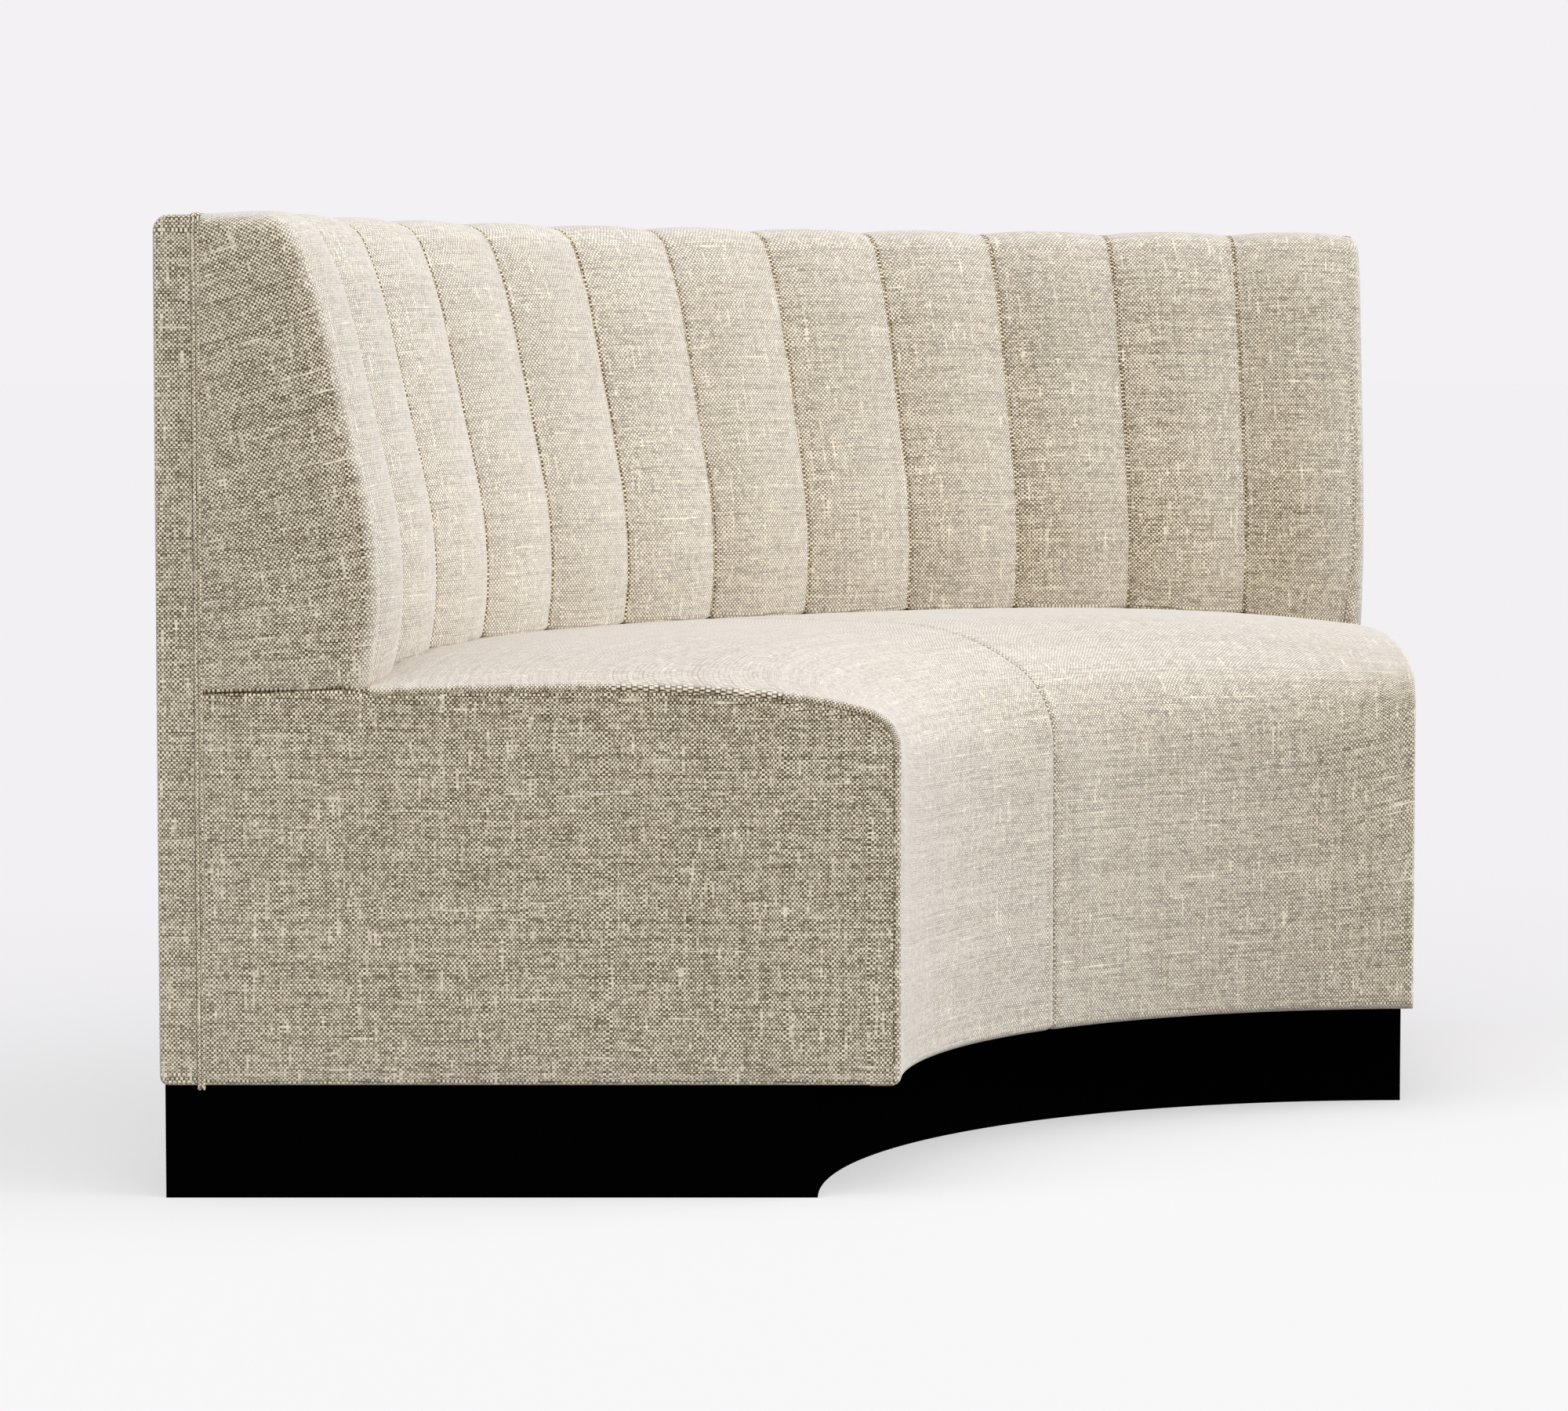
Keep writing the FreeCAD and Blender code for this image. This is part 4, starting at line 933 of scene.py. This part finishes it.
def welt_end_left():
    """The two cords of the left end's welt, round at their lower end and turned in over the top."""
    seat_height = OVERALL_HEIGHT - WELT_SEAT_INSET
    low = PLINTH_HEIGHT - WELT_OVERHANG
    bend = WELT_BEND + WELT_CORD_RADIUS
    outside = WELT_SEAT_INSET - WELT_CORD_RADIUS
    cap = np.radians(WELT_CAP_ANGLES)
    path = [(outside, low + WELT_CORD_RADIUS * (1 - math.cos(a))) for a in cap]
    bend_height = seat_height - WELT_BEND
    heights = np.linspace(low + WELT_CORD_RADIUS, bend_height, WELT_END_ROWS)[1:]
    path += [(outside, height) for height in heights]
    for a in quarter_turn(WELT_BEND_STEPS)[1:]:
        path.append((outside + bend * (1 - math.cos(a)), bend_height + bend * math.sin(a)))
    path.append((WELT_SEAT_INSET + WELT_BEND + WELT_TURNED_IN, seat_height + WELT_CORD_RADIUS))
    path = np.array(path)
    thickness = WELT_CORD_RADIUS * np.concatenate([np.sin(cap), np.ones(len(path) - len(cap))])

    def centres_at(radius):
        return place_by_end(radius, path[:, 1], path[:, 0])

    ups = (-LEFT_OUTWARD, LEFT_OUTWARD)
    return double_cord(centres_at, ups, thickness, (math.pi, 0.0), WELT_END_SEED)


def welt_top():
    """The two cords of the welt along the top."""
    height = OVERALL_HEIGHT - WELT_SEAT_INSET + WELT_CORD_RADIUS
    end = float(end_angle(WELT_RADIUS, WELT_SEAT_INSET + WELT_BEND + WELT_TOP_START))
    angles = np.linspace(end, -end, WELT_TOP_ROWS)

    def centres_at(radius):
        return place(radius, height, angles)

    crests = (math.pi / 2, math.pi / 2)
    return double_cord(centres_at, (UPWARD, UPWARD), WELT_CORD_RADIUS, crests, WELT_TOP_SEED)


# Stitches

def stitches(sheets, centres, ups, pitch, length, radius):
    """Short threads one after another along a line, each round and sunk at its ends."""
    at = lengths(centres)
    width = np.array(STITCH_WIDTH_SHARES)[:, None, None]
    depth = radius * np.array(STITCH_DEPTH_SHARES)[:, None]
    for start in np.arange(pitch / 2, at[-1] - pitch, pitch):
        along = start + length * np.array(STITCH_SHARES)
        line = np.stack([np.interp(along, at, centres[:, k]) for k in range(3)], axis=1)
        up = np.stack([np.interp(along, at, ups[:, k]) for k in range(3)], axis=1)
        line = line - up * depth
        points, u, v = tube(line, up, radius, STITCH_SIDES)
        points = line[:, None] + (points - line[:, None]) * width
        sheets.add(points, weave_of(u + start, v, STITCH_SEED), flip=True)


def end_stitches_left():
    """The stitches of the seam on the seat's left end."""
    seam = seat_seam_path()
    seam = seam[FRONT_ROW:][seam[FRONT_ROW:, 0] <= JUNCTION_RADIUS - END_STITCHES_SHORT]
    centres = place_by_end(seam[:, 0], seam[:, 1], 0.45 * SEAM_GROOVE)
    sheets = Sheets()
    stitches(sheets, centres, np.broadcast_to(LEFT_FACING, centres.shape), *END_STITCH)
    return sheets


def middle_stitches():
    """The stitches of the seat's middle seam."""
    path = seat_path(1.0)
    out = normals_of(path)
    seen = (np.arange(len(path)) >= FRONT_ROW) & (path[:, 0] <= JUNCTION_RADIUS - MIDDLE_STITCHES_SHORT)
    line = (path - out * (MIDDLE_SEAM_DIP - MIDDLE_STITCH_LIFT))[seen]
    ups = np.stack([0 * out[:, 0], out[:, 0], out[:, 1]], axis=1)[seen]
    sheets = Sheets()
    stitches(sheets, place(line[:, 0], line[:, 1], 0.0), ups, *MIDDLE_STITCH)
    return sheets


# Cloth

def loose_part(piece, holds):
    """A copy of the faces of a piece that are free to move, and which points of the piece it has."""
    points = points_of(piece)
    faces = np.array([face.vertices[:] for face in piece.data.polygons])
    faces = faces[(holds[faces] < FIRMLY_HELD).any(axis=1)]
    used = np.unique(faces)
    number = np.zeros(len(points), int)
    number[used] = np.arange(len(used))
    mesh = bpy.data.meshes.new("loose")
    mesh.from_pydata(points[used].tolist(), [], number[faces].tolist())
    return put("loose", mesh), used


def settle(held_pieces, pressure, reach):
    """Blows fabric out between its seams by cloth simulation, and keeps the result in its meshes.

    Each piece comes with how firmly its points are held, and the reach is as far as they may move."""
    trials = []
    for piece, holds in held_pieces:
        loose, used = loose_part(piece, holds)
        group = loose.vertex_groups.new(name="held")
        group.add(np.flatnonzero(holds[used] > FIRMLY_HELD).tolist(), 1.0, "REPLACE")
        cloth = loose.modifiers.new("cloth", "CLOTH").settings
        cloth.quality = CLOTH_QUALITY
        cloth.vertex_group_mass = "held"
        cloth.use_pressure = True
        cloth.uniform_pressure_force = pressure
        cloth.effector_weights.gravity = 0.0
        trials.append((loose, used))
    scene = bpy.context.scene
    for step in range(1, CLOTH_STEPS + 1):
        scene.frame_set(step)
    graph = bpy.context.evaluated_depsgraph_get()
    for (piece, holds), (loose, used) in zip(held_pieces, trials):
        moved = points_of(loose.evaluated_get(graph)) - points_of(loose)
        far = np.linalg.norm(moved, axis=1)[:, None]
        print("cloth", piece.name, "moved", round(float(far.max()) * 1000, 2), "mm before the cap")
        moved *= reach * np.tanh(far / reach) / np.maximum(far, 1e-9) * (1 - holds[used])[:, None]
        points = points_of(piece)
        points[used] += moved
        piece.data.vertices.foreach_set("co", points.ravel())
        piece.data.update()
    for loose, _ in trials:
        mesh = loose.data
        bpy.data.objects.remove(loose)
        bpy.data.meshes.remove(mesh)
    scene.frame_set(1)


# Materials

class Nodes:
    """Adds nodes to a tree that ends in a surface."""

    def __init__(self, tree, surface):
        self.tree = tree
        self.surface = surface

    def node(self, kind, **values):
        made = self.tree.nodes.new(kind)
        for key, value in values.items():
            setattr(made, key, value)
        return made

    def link(self, value, socket):
        if isinstance(value, bpy.types.NodeSocket):
            self.tree.links.new(value, socket)
        else:
            socket.default_value = value

    def math(self, operation, *values):
        made = self.node("ShaderNodeMath", operation=operation)
        for value, socket in zip(values, made.inputs):
            self.link(value, socket)
        return made.outputs[0]

    def directly_seen(self):
        """1 where the camera looks, straight or by way of gloss or glass, and 0 for other light."""
        path = self.node("ShaderNodeLightPath")
        shown = path.outputs["Is Camera Ray"]
        for kind in ("Is Glossy Ray", "Is Transmission Ray"):
            shown = self.math("MAXIMUM", shown, path.outputs[kind])
        return shown

    def mix_shaders(self, share, first, second):
        """Makes the surface a mixture of two shaders, all the second where the share is 1."""
        both = self.node("ShaderNodeMixShader")
        for value, socket in zip((share, first.outputs[0], second.outputs[0]), both.inputs):
            self.link(value, socket)
        self.link(both.outputs[0], self.surface)


class Finish(Nodes):
    """Builds a material's nodes one after another."""

    def __init__(self, name):
        self.material = bpy.data.materials.new(name)
        self.material.use_nodes = True
        nodes = self.material.node_tree.nodes
        super().__init__(self.material.node_tree, nodes["Material Output"].inputs["Surface"])
        self.shader = nodes["Principled BSDF"]

    def paint(self, colour):
        self.link(colour, self.shader.inputs["Base Color"])

    def roughen(self, roughness):
        self.link(roughness, self.shader.inputs["Roughness"])

    def weave(self):
        """The place in the weave, with its seed."""
        return self.node("ShaderNodeAttribute", attribute_name="weave").outputs["Vector"]

    def sum(self, *values):
        total = values[0]
        for value in values[1:]:
            total = self.math("ADD", total, value)
        return total

    def times(self, *values):
        product = values[0]
        for value in values[1:]:
            product = self.math("MULTIPLY", product, value)
        return product

    def less(self, value, *taken):
        for part in taken:
            value = self.math("SUBTRACT", value, part)
        return value

    def clamped(self, value):
        """A value kept from 0 to 1."""
        return self.math("MINIMUM", self.math("MAXIMUM", value, 0.0), 1.0)

    def centred(self, value, middle, reach):
        """A value about zero, as wide as its reach."""
        return self.times(self.less(value, middle), reach)

    def split(self, vector):
        made = self.node("ShaderNodeSeparateXYZ")
        self.link(vector, made.inputs[0])
        return made.outputs

    def position(self):
        return self.node("ShaderNodeNewGeometry").outputs["Position"]

    def combine(self, x, y, z):
        made = self.node("ShaderNodeCombineXYZ")
        for value, socket in zip((x, y, z), made.inputs):
            self.link(value, socket)
        return made.outputs[0]

    def cloud(self, x, y, z):
        """Smooth noise at a place given by three values."""
        return self.noise(self.combine(x, y, z), 1.0, 1.0)

    def noise(self, vector, scale, detail=2.0, roughness=0.5):
        made = self.node("ShaderNodeTexNoise")
        self.link(vector, made.inputs["Vector"])
        made.inputs["Scale"].default_value = scale
        made.inputs["Detail"].default_value = detail
        made.inputs["Roughness"].default_value = roughness
        return made.outputs[0]

    def white(self, x, y, z):
        """A value of its own for each whole place given by three values."""
        made = self.node("ShaderNodeTexWhiteNoise", noise_dimensions="3D")
        self.link(self.combine(x, y, z), made.inputs["Vector"])
        return made.outputs["Value"]

    def colours(self, factor, *stops):
        """The colour that a value has among stops of a place and a colour each."""
        made = self.node("ShaderNodeValToRGB")
        ramp = made.color_ramp
        while len(ramp.elements) < len(stops):
            ramp.elements.new(0.5)
        for element, (position, colour) in zip(ramp.elements, stops):
            element.position = position
            element.color = (*colour, 1.0)
        self.link(factor, made.inputs[0])
        return made.outputs[0]

    def greys(self, factor, *stops):
        """The level that a value has among stops of a place and a level each."""
        return self.colours(factor, *[(at, (level,) * 3) for at, level in stops])

    def blend(self, factor, a, b):
        """One of two colours or the other, by a factor."""
        made = self.node("ShaderNodeMix", data_type="RGBA")
        self.link(factor, made.inputs[0])
        for value, socket in ((a, made.inputs[6]), (b, made.inputs[7])):
            if isinstance(value, tuple):
                socket.default_value = (*value, 1.0)
            else:
                self.link(value, socket)
        return made.outputs[2]

    def matt(self, roughness=1.0, gloss=0.0):
        self.roughen(roughness)
        self.shader.inputs["Specular IOR Level"].default_value = gloss

    def bump(self, height, strength, distance):
        """Small relief on the surface."""
        made = self.node("ShaderNodeBump")
        made.inputs["Strength"].default_value = strength
        made.inputs["Distance"].default_value = distance
        self.link(height, made.inputs["Height"])
        self.link(made.outputs[0], self.shader.inputs["Normal"])

    def painted_sheen(self, colour, *shares):
        """A painted sheen: a pale diffuse layer over the surface, mixed in more and more as the surface
        turns edge-on to the eye, in place of the sheen of brushed cloth.
        """
        sheen_layer = self.node("ShaderNodeBsdfDiffuse")
        sheen_layer.inputs["Color"].default_value = (*colour, 1.0)
        turned = self.node("ShaderNodeLayerWeight")
        turned.inputs["Blend"].default_value = 0.5
        self.mix_shaders(self.greys(turned.outputs["Facing"], *shares), self.shader, sheen_layer)


def srgb(*levels):
    """A colour written as it looks on a screen, from 0 to 255, as the light it gives off."""
    shares = [level / 255 for level in levels]
    return tuple(c / 12.92 if c <= 0.04045 else ((c + 0.055) / 1.055) ** 2.4 for c in shares)


def lifted(levels):
    """A colour of the cloth raised to what it is in full light, all its levels alike."""
    lift = min(BASE_LIFT, LIFTED_MOST / max(levels))
    return srgb(*[level * lift for level in levels])


def fabric(name, weft_tone, with_sheen):
    """A coarse plain weave: cream to taupe weft rows, dark dots where the warp crosses over them."""
    f = Finish(name)
    u, v, seed = f.split(f.weave())
    offset = f.times(seed, SEED_STEP)
    wander = f.cloud(f.times(u, WANDER_RATES[0]), f.times(v, WANDER_RATES[1]), offset)
    stray = f.cloud(f.times(u, STRAY_RATES[0]), f.times(v, STRAY_RATES[1]), offset)
    p = f.sum(f.math("DIVIDE", u, WARP_PITCH), f.centred(stray, 0.5, STRAY_REACH))
    q = f.sum(f.math("DIVIDE", v, WEFT_PITCH), f.centred(wander, 0.5, WANDER_REACH))
    i, j = f.math("FLOOR", p), f.math("FLOOR", q)
    fu, fv = f.less(f.math("FRACT", p), 0.5), f.less(f.math("FRACT", q), 0.5)
    over = f.math("MODULO", f.math("ABSOLUTE", f.sum(i, j)), 2.0)
    under = f.less(1.0, over)

    # Each row has a tone and slubs of its own, and each warp thread its proud stretches
    row = f.centred(f.white(j, seed, ROW_NOISE), 0.5, ROW_TONE)
    own = f.times(f.white(j, seed, OWN_NOISE), APART)
    thick = f.clamped(f.centred(f.cloud(f.times(u, SLUB_RATE), own, SLUB_NOISE), *SLUB_START))
    flecks = f.cloud(f.times(u, FLECK_RATE), own, FLECK_NOISE)
    cell = f.white(i, j, offset)
    column = f.cloud(f.times(i, COLUMN_STEP), f.times(v, COLUMN_RATE), offset)
    proud = f.clamped(f.centred(column, *PROUD_START))
    fibre = f.centred(f.white(i, seed, FIBRE_NOISE), 0.5, COLUMN_TONE)
    # A painted highlight along the middle of each weft float, where it rises highest
    crest_highlight = f.times(f.math("COSINE", f.times(fu, math.pi)), over)

    # A dark oval dot where a warp thread lies on top, darkest in its middle
    across, along = f.math("DIVIDE", fu, DOT_WIDTH), f.math("DIVIDE", fv, DOT_HEIGHT)
    oval = f.less(1.0, f.times(across, across), f.times(along, along))
    dot = f.math("SQRT", f.math("MAXIMUM", oval, 0.0))
    depth = f.sum(DOT_TONE, f.centred(cell, 0.5, DOT_CELL_TONE), f.centred(column, 0.5, DOT_COLUMN_TONE))
    hidden = f.times(f.less(1.0, f.times(thick, SLUB_COVER)), f.less(1.0, f.times(proud, PROUD_COVER)))
    dots = f.times(dot, depth, under, hidden)

    # Painted shade in the gap between two rows: a dark line, wider and darker here and there where the gap
    # opens
    line = f.less(f.math("ABSOLUTE", fv), LINE_START)
    line = f.math("MAXIMUM", f.math("DIVIDE", line, 0.5 - LINE_START), 0.0)
    between = f.times(f.white(f.math("FLOOR", f.sum(q, 0.5)), seed, BETWEEN_NOISE), APART)
    gap = f.cloud(f.times(u, GAP_RATE), between, GAP_NOISE)
    wide_gap_shade = f.math("MAXIMUM", f.centred(gap, GAP_START, WIDE_GAP_SHADE), 0.0)
    row_gap_shade = f.times(line, f.sum(ROW_GAP_SHADE, f.centred(flecks, 0.5, LINE_FLECK_TONE), wide_gap_shade))
    row_gap_shade = f.times(row_gap_shade, f.less(1.0, f.times(proud, PROUD_LINE_COVER)))

    tone = f.sum(
        weft_tone, fibre, row, f.times(thick, SLUB_TONE), f.centred(flecks, 0.5, FLECK_TONE),
        f.centred(cell, 0.5, CELL_TONE), f.times(crest_highlight, CREST_HIGHLIGHT),
    )
    stops = [(share, lifted(levels)) for share, levels in YARN_COLOURS]
    f.paint(f.colours(f.less(tone, dots, row_gap_shade), *stops))
    f.matt(*FABRIC_GLOSS)
    f.bump(f.less(1.0, f.times(dot, under), line), *FABRIC_RELIEF)
    if with_sheen:
        f.painted_sheen(srgb(*SHEEN_COLOUR), *SHEEN_SHARES)
    return f.material


def thread():
    """Twisted taupe thread."""
    f = Finish("taupe_thread")
    twist = f.noise(f.weave(), 2600.0)
    f.paint(f.colours(twist, (0.35, srgb(84, 72, 54)), (0.65, srgb(134, 121, 99))))
    f.roughen(0.7)
    f.bump(twist, 0.4, 0.0003)
    return f.material


def black_laminate():
    """The plinth's matt black, with a fine grain."""
    f = Finish("plinth_laminate")
    grain = f.noise(f.position(), 900.0, 3.0, 0.6)
    f.paint(f.colours(grain, (0.3, srgb(1, 1, 1)), (0.8, srgb(4, 4, 4))))
    f.roughen(f.greys(grain, (0.2, 0.45), (0.8, 0.6)))
    f.shader.inputs["Specular IOR Level"].default_value = 0.0
    f.bump(grain, 0.15, 0.0002)
    return f.material


def timber(name, pale, dark):
    """Wood with long grain and fine pores."""
    f = Finish(name)
    x, y, z = f.split(f.position())
    stretched = f.combine(f.times(x, 6.0), f.times(y, 6.0), f.times(z, 90.0))
    rings = f.noise(stretched, 3.0, 5.0, 0.6)
    pores = f.noise(stretched, 22.0)
    f.paint(f.colours(rings, (0.35, dark), (0.65, pale)))
    f.roughen(f.greys(pores, (0.3, 0.55), (0.7, 0.75)))
    f.bump(pores, 0.2, 0.0005)
    return f.material


def woven_strap():
    """Dark jute webbing."""
    f = Finish("webbing_strap")
    fine, wide = f.noise(f.position(), 700.0), f.noise(f.position(), 60.0)
    tone = f.blend(wide, srgb(52, 46, 40), srgb(96, 84, 68))
    f.paint(f.blend(fine, tone, srgb(30, 27, 24)))
    f.roughen(0.85)
    f.bump(fine, 0.5, 0.0008)
    return f.material


def steel():
    """Zinc-plated steel with faint spots."""
    f = Finish("zinc_steel")
    spots = f.noise(f.position(), 300.0, 3.0)
    f.paint(f.colours(spots, (0.3, srgb(150, 150, 146)), (0.7, srgb(190, 190, 186))))
    f.shader.inputs["Metallic"].default_value = 1.0
    f.roughen(f.greys(spots, (0.3, 0.3), (0.7, 0.5)))
    return f.material


# Pieces

# The main linen carries the painted sheen; the darker fold copy and the welt's linen have none
linen = fabric("linen_weave", WEFT_TONE, True)
# A darker copy without sheen for faces in folds, seams and joints: painted shade
fold_shaded_linen = fabric("linen_in_folds", FOLD_SHADE_TONE, False)
welt_linen = fabric("linen_welt", WELT_TONE, False)
sewing = thread()
panel = (linen, fold_shaded_linen)


def both_sides(sheets, name, nodes, materials, swell=None):
    """A piece on the left and its mirror image, blown out as cloth where a swell is given."""
    pair = []
    for side, form in (("_left", sheets), ("_right", sheets.mirror())):
        pair.append((form.make(name + side, *materials), form.holds()))
    if swell:
        settle(pair, *swell)
    for piece, _ in pair:
        side = piece.name[len(name):]
        finished(piece, [node + side for node in nodes])


both_sides(seat_skin_left(), "seat_fabric", ["seat_cover"], panel, SEAT_SWELL)
both_sides(seat_end_left(), "seat_end_fabric", ["seat_end_cover", "seat_end_padding"], panel)
left_channels = back_channels(0, CHANNELS // 2)
both_sides(left_channels, "channel_fabric", ["back_channel_covers"], panel, CHANNEL_SWELL)
both_sides(back_end_left(), "back_end_fabric", ["back_end_cover", "back_end_padding"], panel)
finished(slab_cover().make("slab_fabric", linen), ["outer_back_cover", "outer_back_wadding"])
both_sides(welt_end_left(), "welt_end", ["double_welt"], [welt_linen])
finished(welt_top().make("welt_top", welt_linen), ["double_welt_top"])
both_sides(end_stitches_left(), "seat_end_stitches", [], [sewing])
finished(middle_stitches().make("middle_stitches", sewing), [])
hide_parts("seat_foam", "seat_front_foam")
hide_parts("back_core_foam", "back_channel_foams")

FINISHES = (
    (black_laminate(), (
        "plinth_front_board", "plinth_rear_board", "plinth_end_board_left", "plinth_end_board_right",
    )),
    (timber("birch_ply", srgb(214, 184, 140), srgb(186, 150, 104)), (
        "base_board", "seat_front_panel", "seat_ribs", "seat_end_frame_left", "seat_end_frame_right",
        "spine_board", "back_ribs", "back_end_frame_left", "back_end_frame_right", "outer_back_panel",
    )),
    (timber("pine_rail", srgb(222, 190, 140), srgb(190, 146, 92)), (
        "plinth_bearers", "plinth_corner_blocks", "seat_front_rail", "seat_rear_rail",
        "seat_end_cleat_left", "seat_end_cleat_right", "back_bottom_rail", "back_top_rail",
        "welt_tack_strips",
    )),
    (woven_strap(), ("seat_webbing_radial", "seat_webbing_rings")),
    (steel(), ("base_bolts",)),
)
for material, names in FINISHES:
    for name in names:
        mesh = frame["nodes"][name].data
        mesh.materials.clear()
        mesh.materials.append(material)


# Floor, backdrop, camera and light

RIGHT = Vector((math.cos(VIEW_TURN), math.sin(VIEW_TURN), 0))
AHEAD = Vector((-math.sin(VIEW_TURN), math.cos(VIEW_TURN), 0))
UP = Vector((0, 0, 1))


def floor_paper():
    """Matt white lit from below too, greyer far behind, which sends less light on than it shows."""
    f = Finish("floor_white")
    behind = f.node("ShaderNodeVectorMath", operation="DOT_PRODUCT")
    f.link(f.position(), behind.inputs[0])
    behind.inputs[1].default_value = AHEAD
    away = f.centred(behind.outputs["Value"], FADE_START, 1 / FADE_LENGTH)
    colour = f.colours(away, (0.0, FLOOR_COLOUR), (1.0, FLOOR_FAR))
    f.paint(colour)
    f.link(colour, f.shader.inputs["Emission Color"])
    f.shader.inputs["Emission Strength"].default_value = FLOOR_GLOW
    f.matt()
    sent = f.node("ShaderNodeBsdfDiffuse")
    sent.inputs["Color"].default_value = (*FLOOR_BOUNCE, 1.0)
    f.mix_shaders(f.directly_seen(), sent, f.shader)
    return f.material


def floor():
    mesh = bpy.data.meshes.new("floor")
    corners = [(x * FLOOR_REACH, y * FLOOR_REACH, 0) for x, y in ((-1, -1), (1, -1), (1, 1), (-1, 1))]
    mesh.from_pydata(corners, [], [(0, 1, 2, 3)])
    mesh.materials.append(floor_paper())
    put("floor", mesh)


def camera():
    data = bpy.data.cameras.new("camera")
    data.sensor_width = SENSOR_WIDTH
    data.lens = FOCAL_LENGTH
    data.clip_end = SIGHT
    made = put("camera", data)
    axis = Vector((0, ARC_CENTRE_Y, 0))
    made.location = axis - RIGHT * CENTRE_RIGHT - AHEAD * CENTRE_AHEAD + UP * CAMERA_HEIGHT
    made.rotation_euler = (math.radians(90.0) - VIEW_DROP, 0, VIEW_TURN)
    bpy.context.scene.camera = made


def lamp(name, toward, strength):
    """A soft lamp far away in a direction from the object, as the camera sees it."""
    data = bpy.data.lights.new(name, "SUN")
    data.angle = LAMP_SPREAD
    data.energy = strength * math.pi
    made = put(name, data)
    right, ahead, up = toward
    toward = RIGHT * right + AHEAD * ahead + UP * up
    made.rotation_euler = toward.to_track_quat("Z", "Y").to_euler()
    made.location = toward * LAMP_DISTANCE


def world():
    """Even light from all round, behind which the camera sees the pale backdrop."""
    made = bpy.data.worlds.new("studio")
    made.use_nodes = True
    tree = made.node_tree
    tree.nodes.clear()
    w = Nodes(tree, tree.nodes.new("ShaderNodeOutputWorld").inputs["Surface"])
    light, seen = w.node("ShaderNodeBackground"), w.node("ShaderNodeBackground")
    light.inputs["Color"].default_value = (1.0, 1.0, 1.0, 1.0)
    light.inputs["Strength"].default_value = WORLD_LIGHT
    seen.inputs["Color"].default_value = (*srgb(*BACKDROP), 1.0)
    w.mix_shaders(w.directly_seen(), light, seen)
    bpy.context.scene.world = made


bpy.context.scene.view_settings.view_transform = "Standard"
floor()
camera()
world()
for name, toward, strength in LAMPS:
    lamp(name, toward, strength)
# Without this the denoiser blurs the guiding passes, and with them the weave
bpy.context.scene.cycles.denoising_prefilter = "NONE"
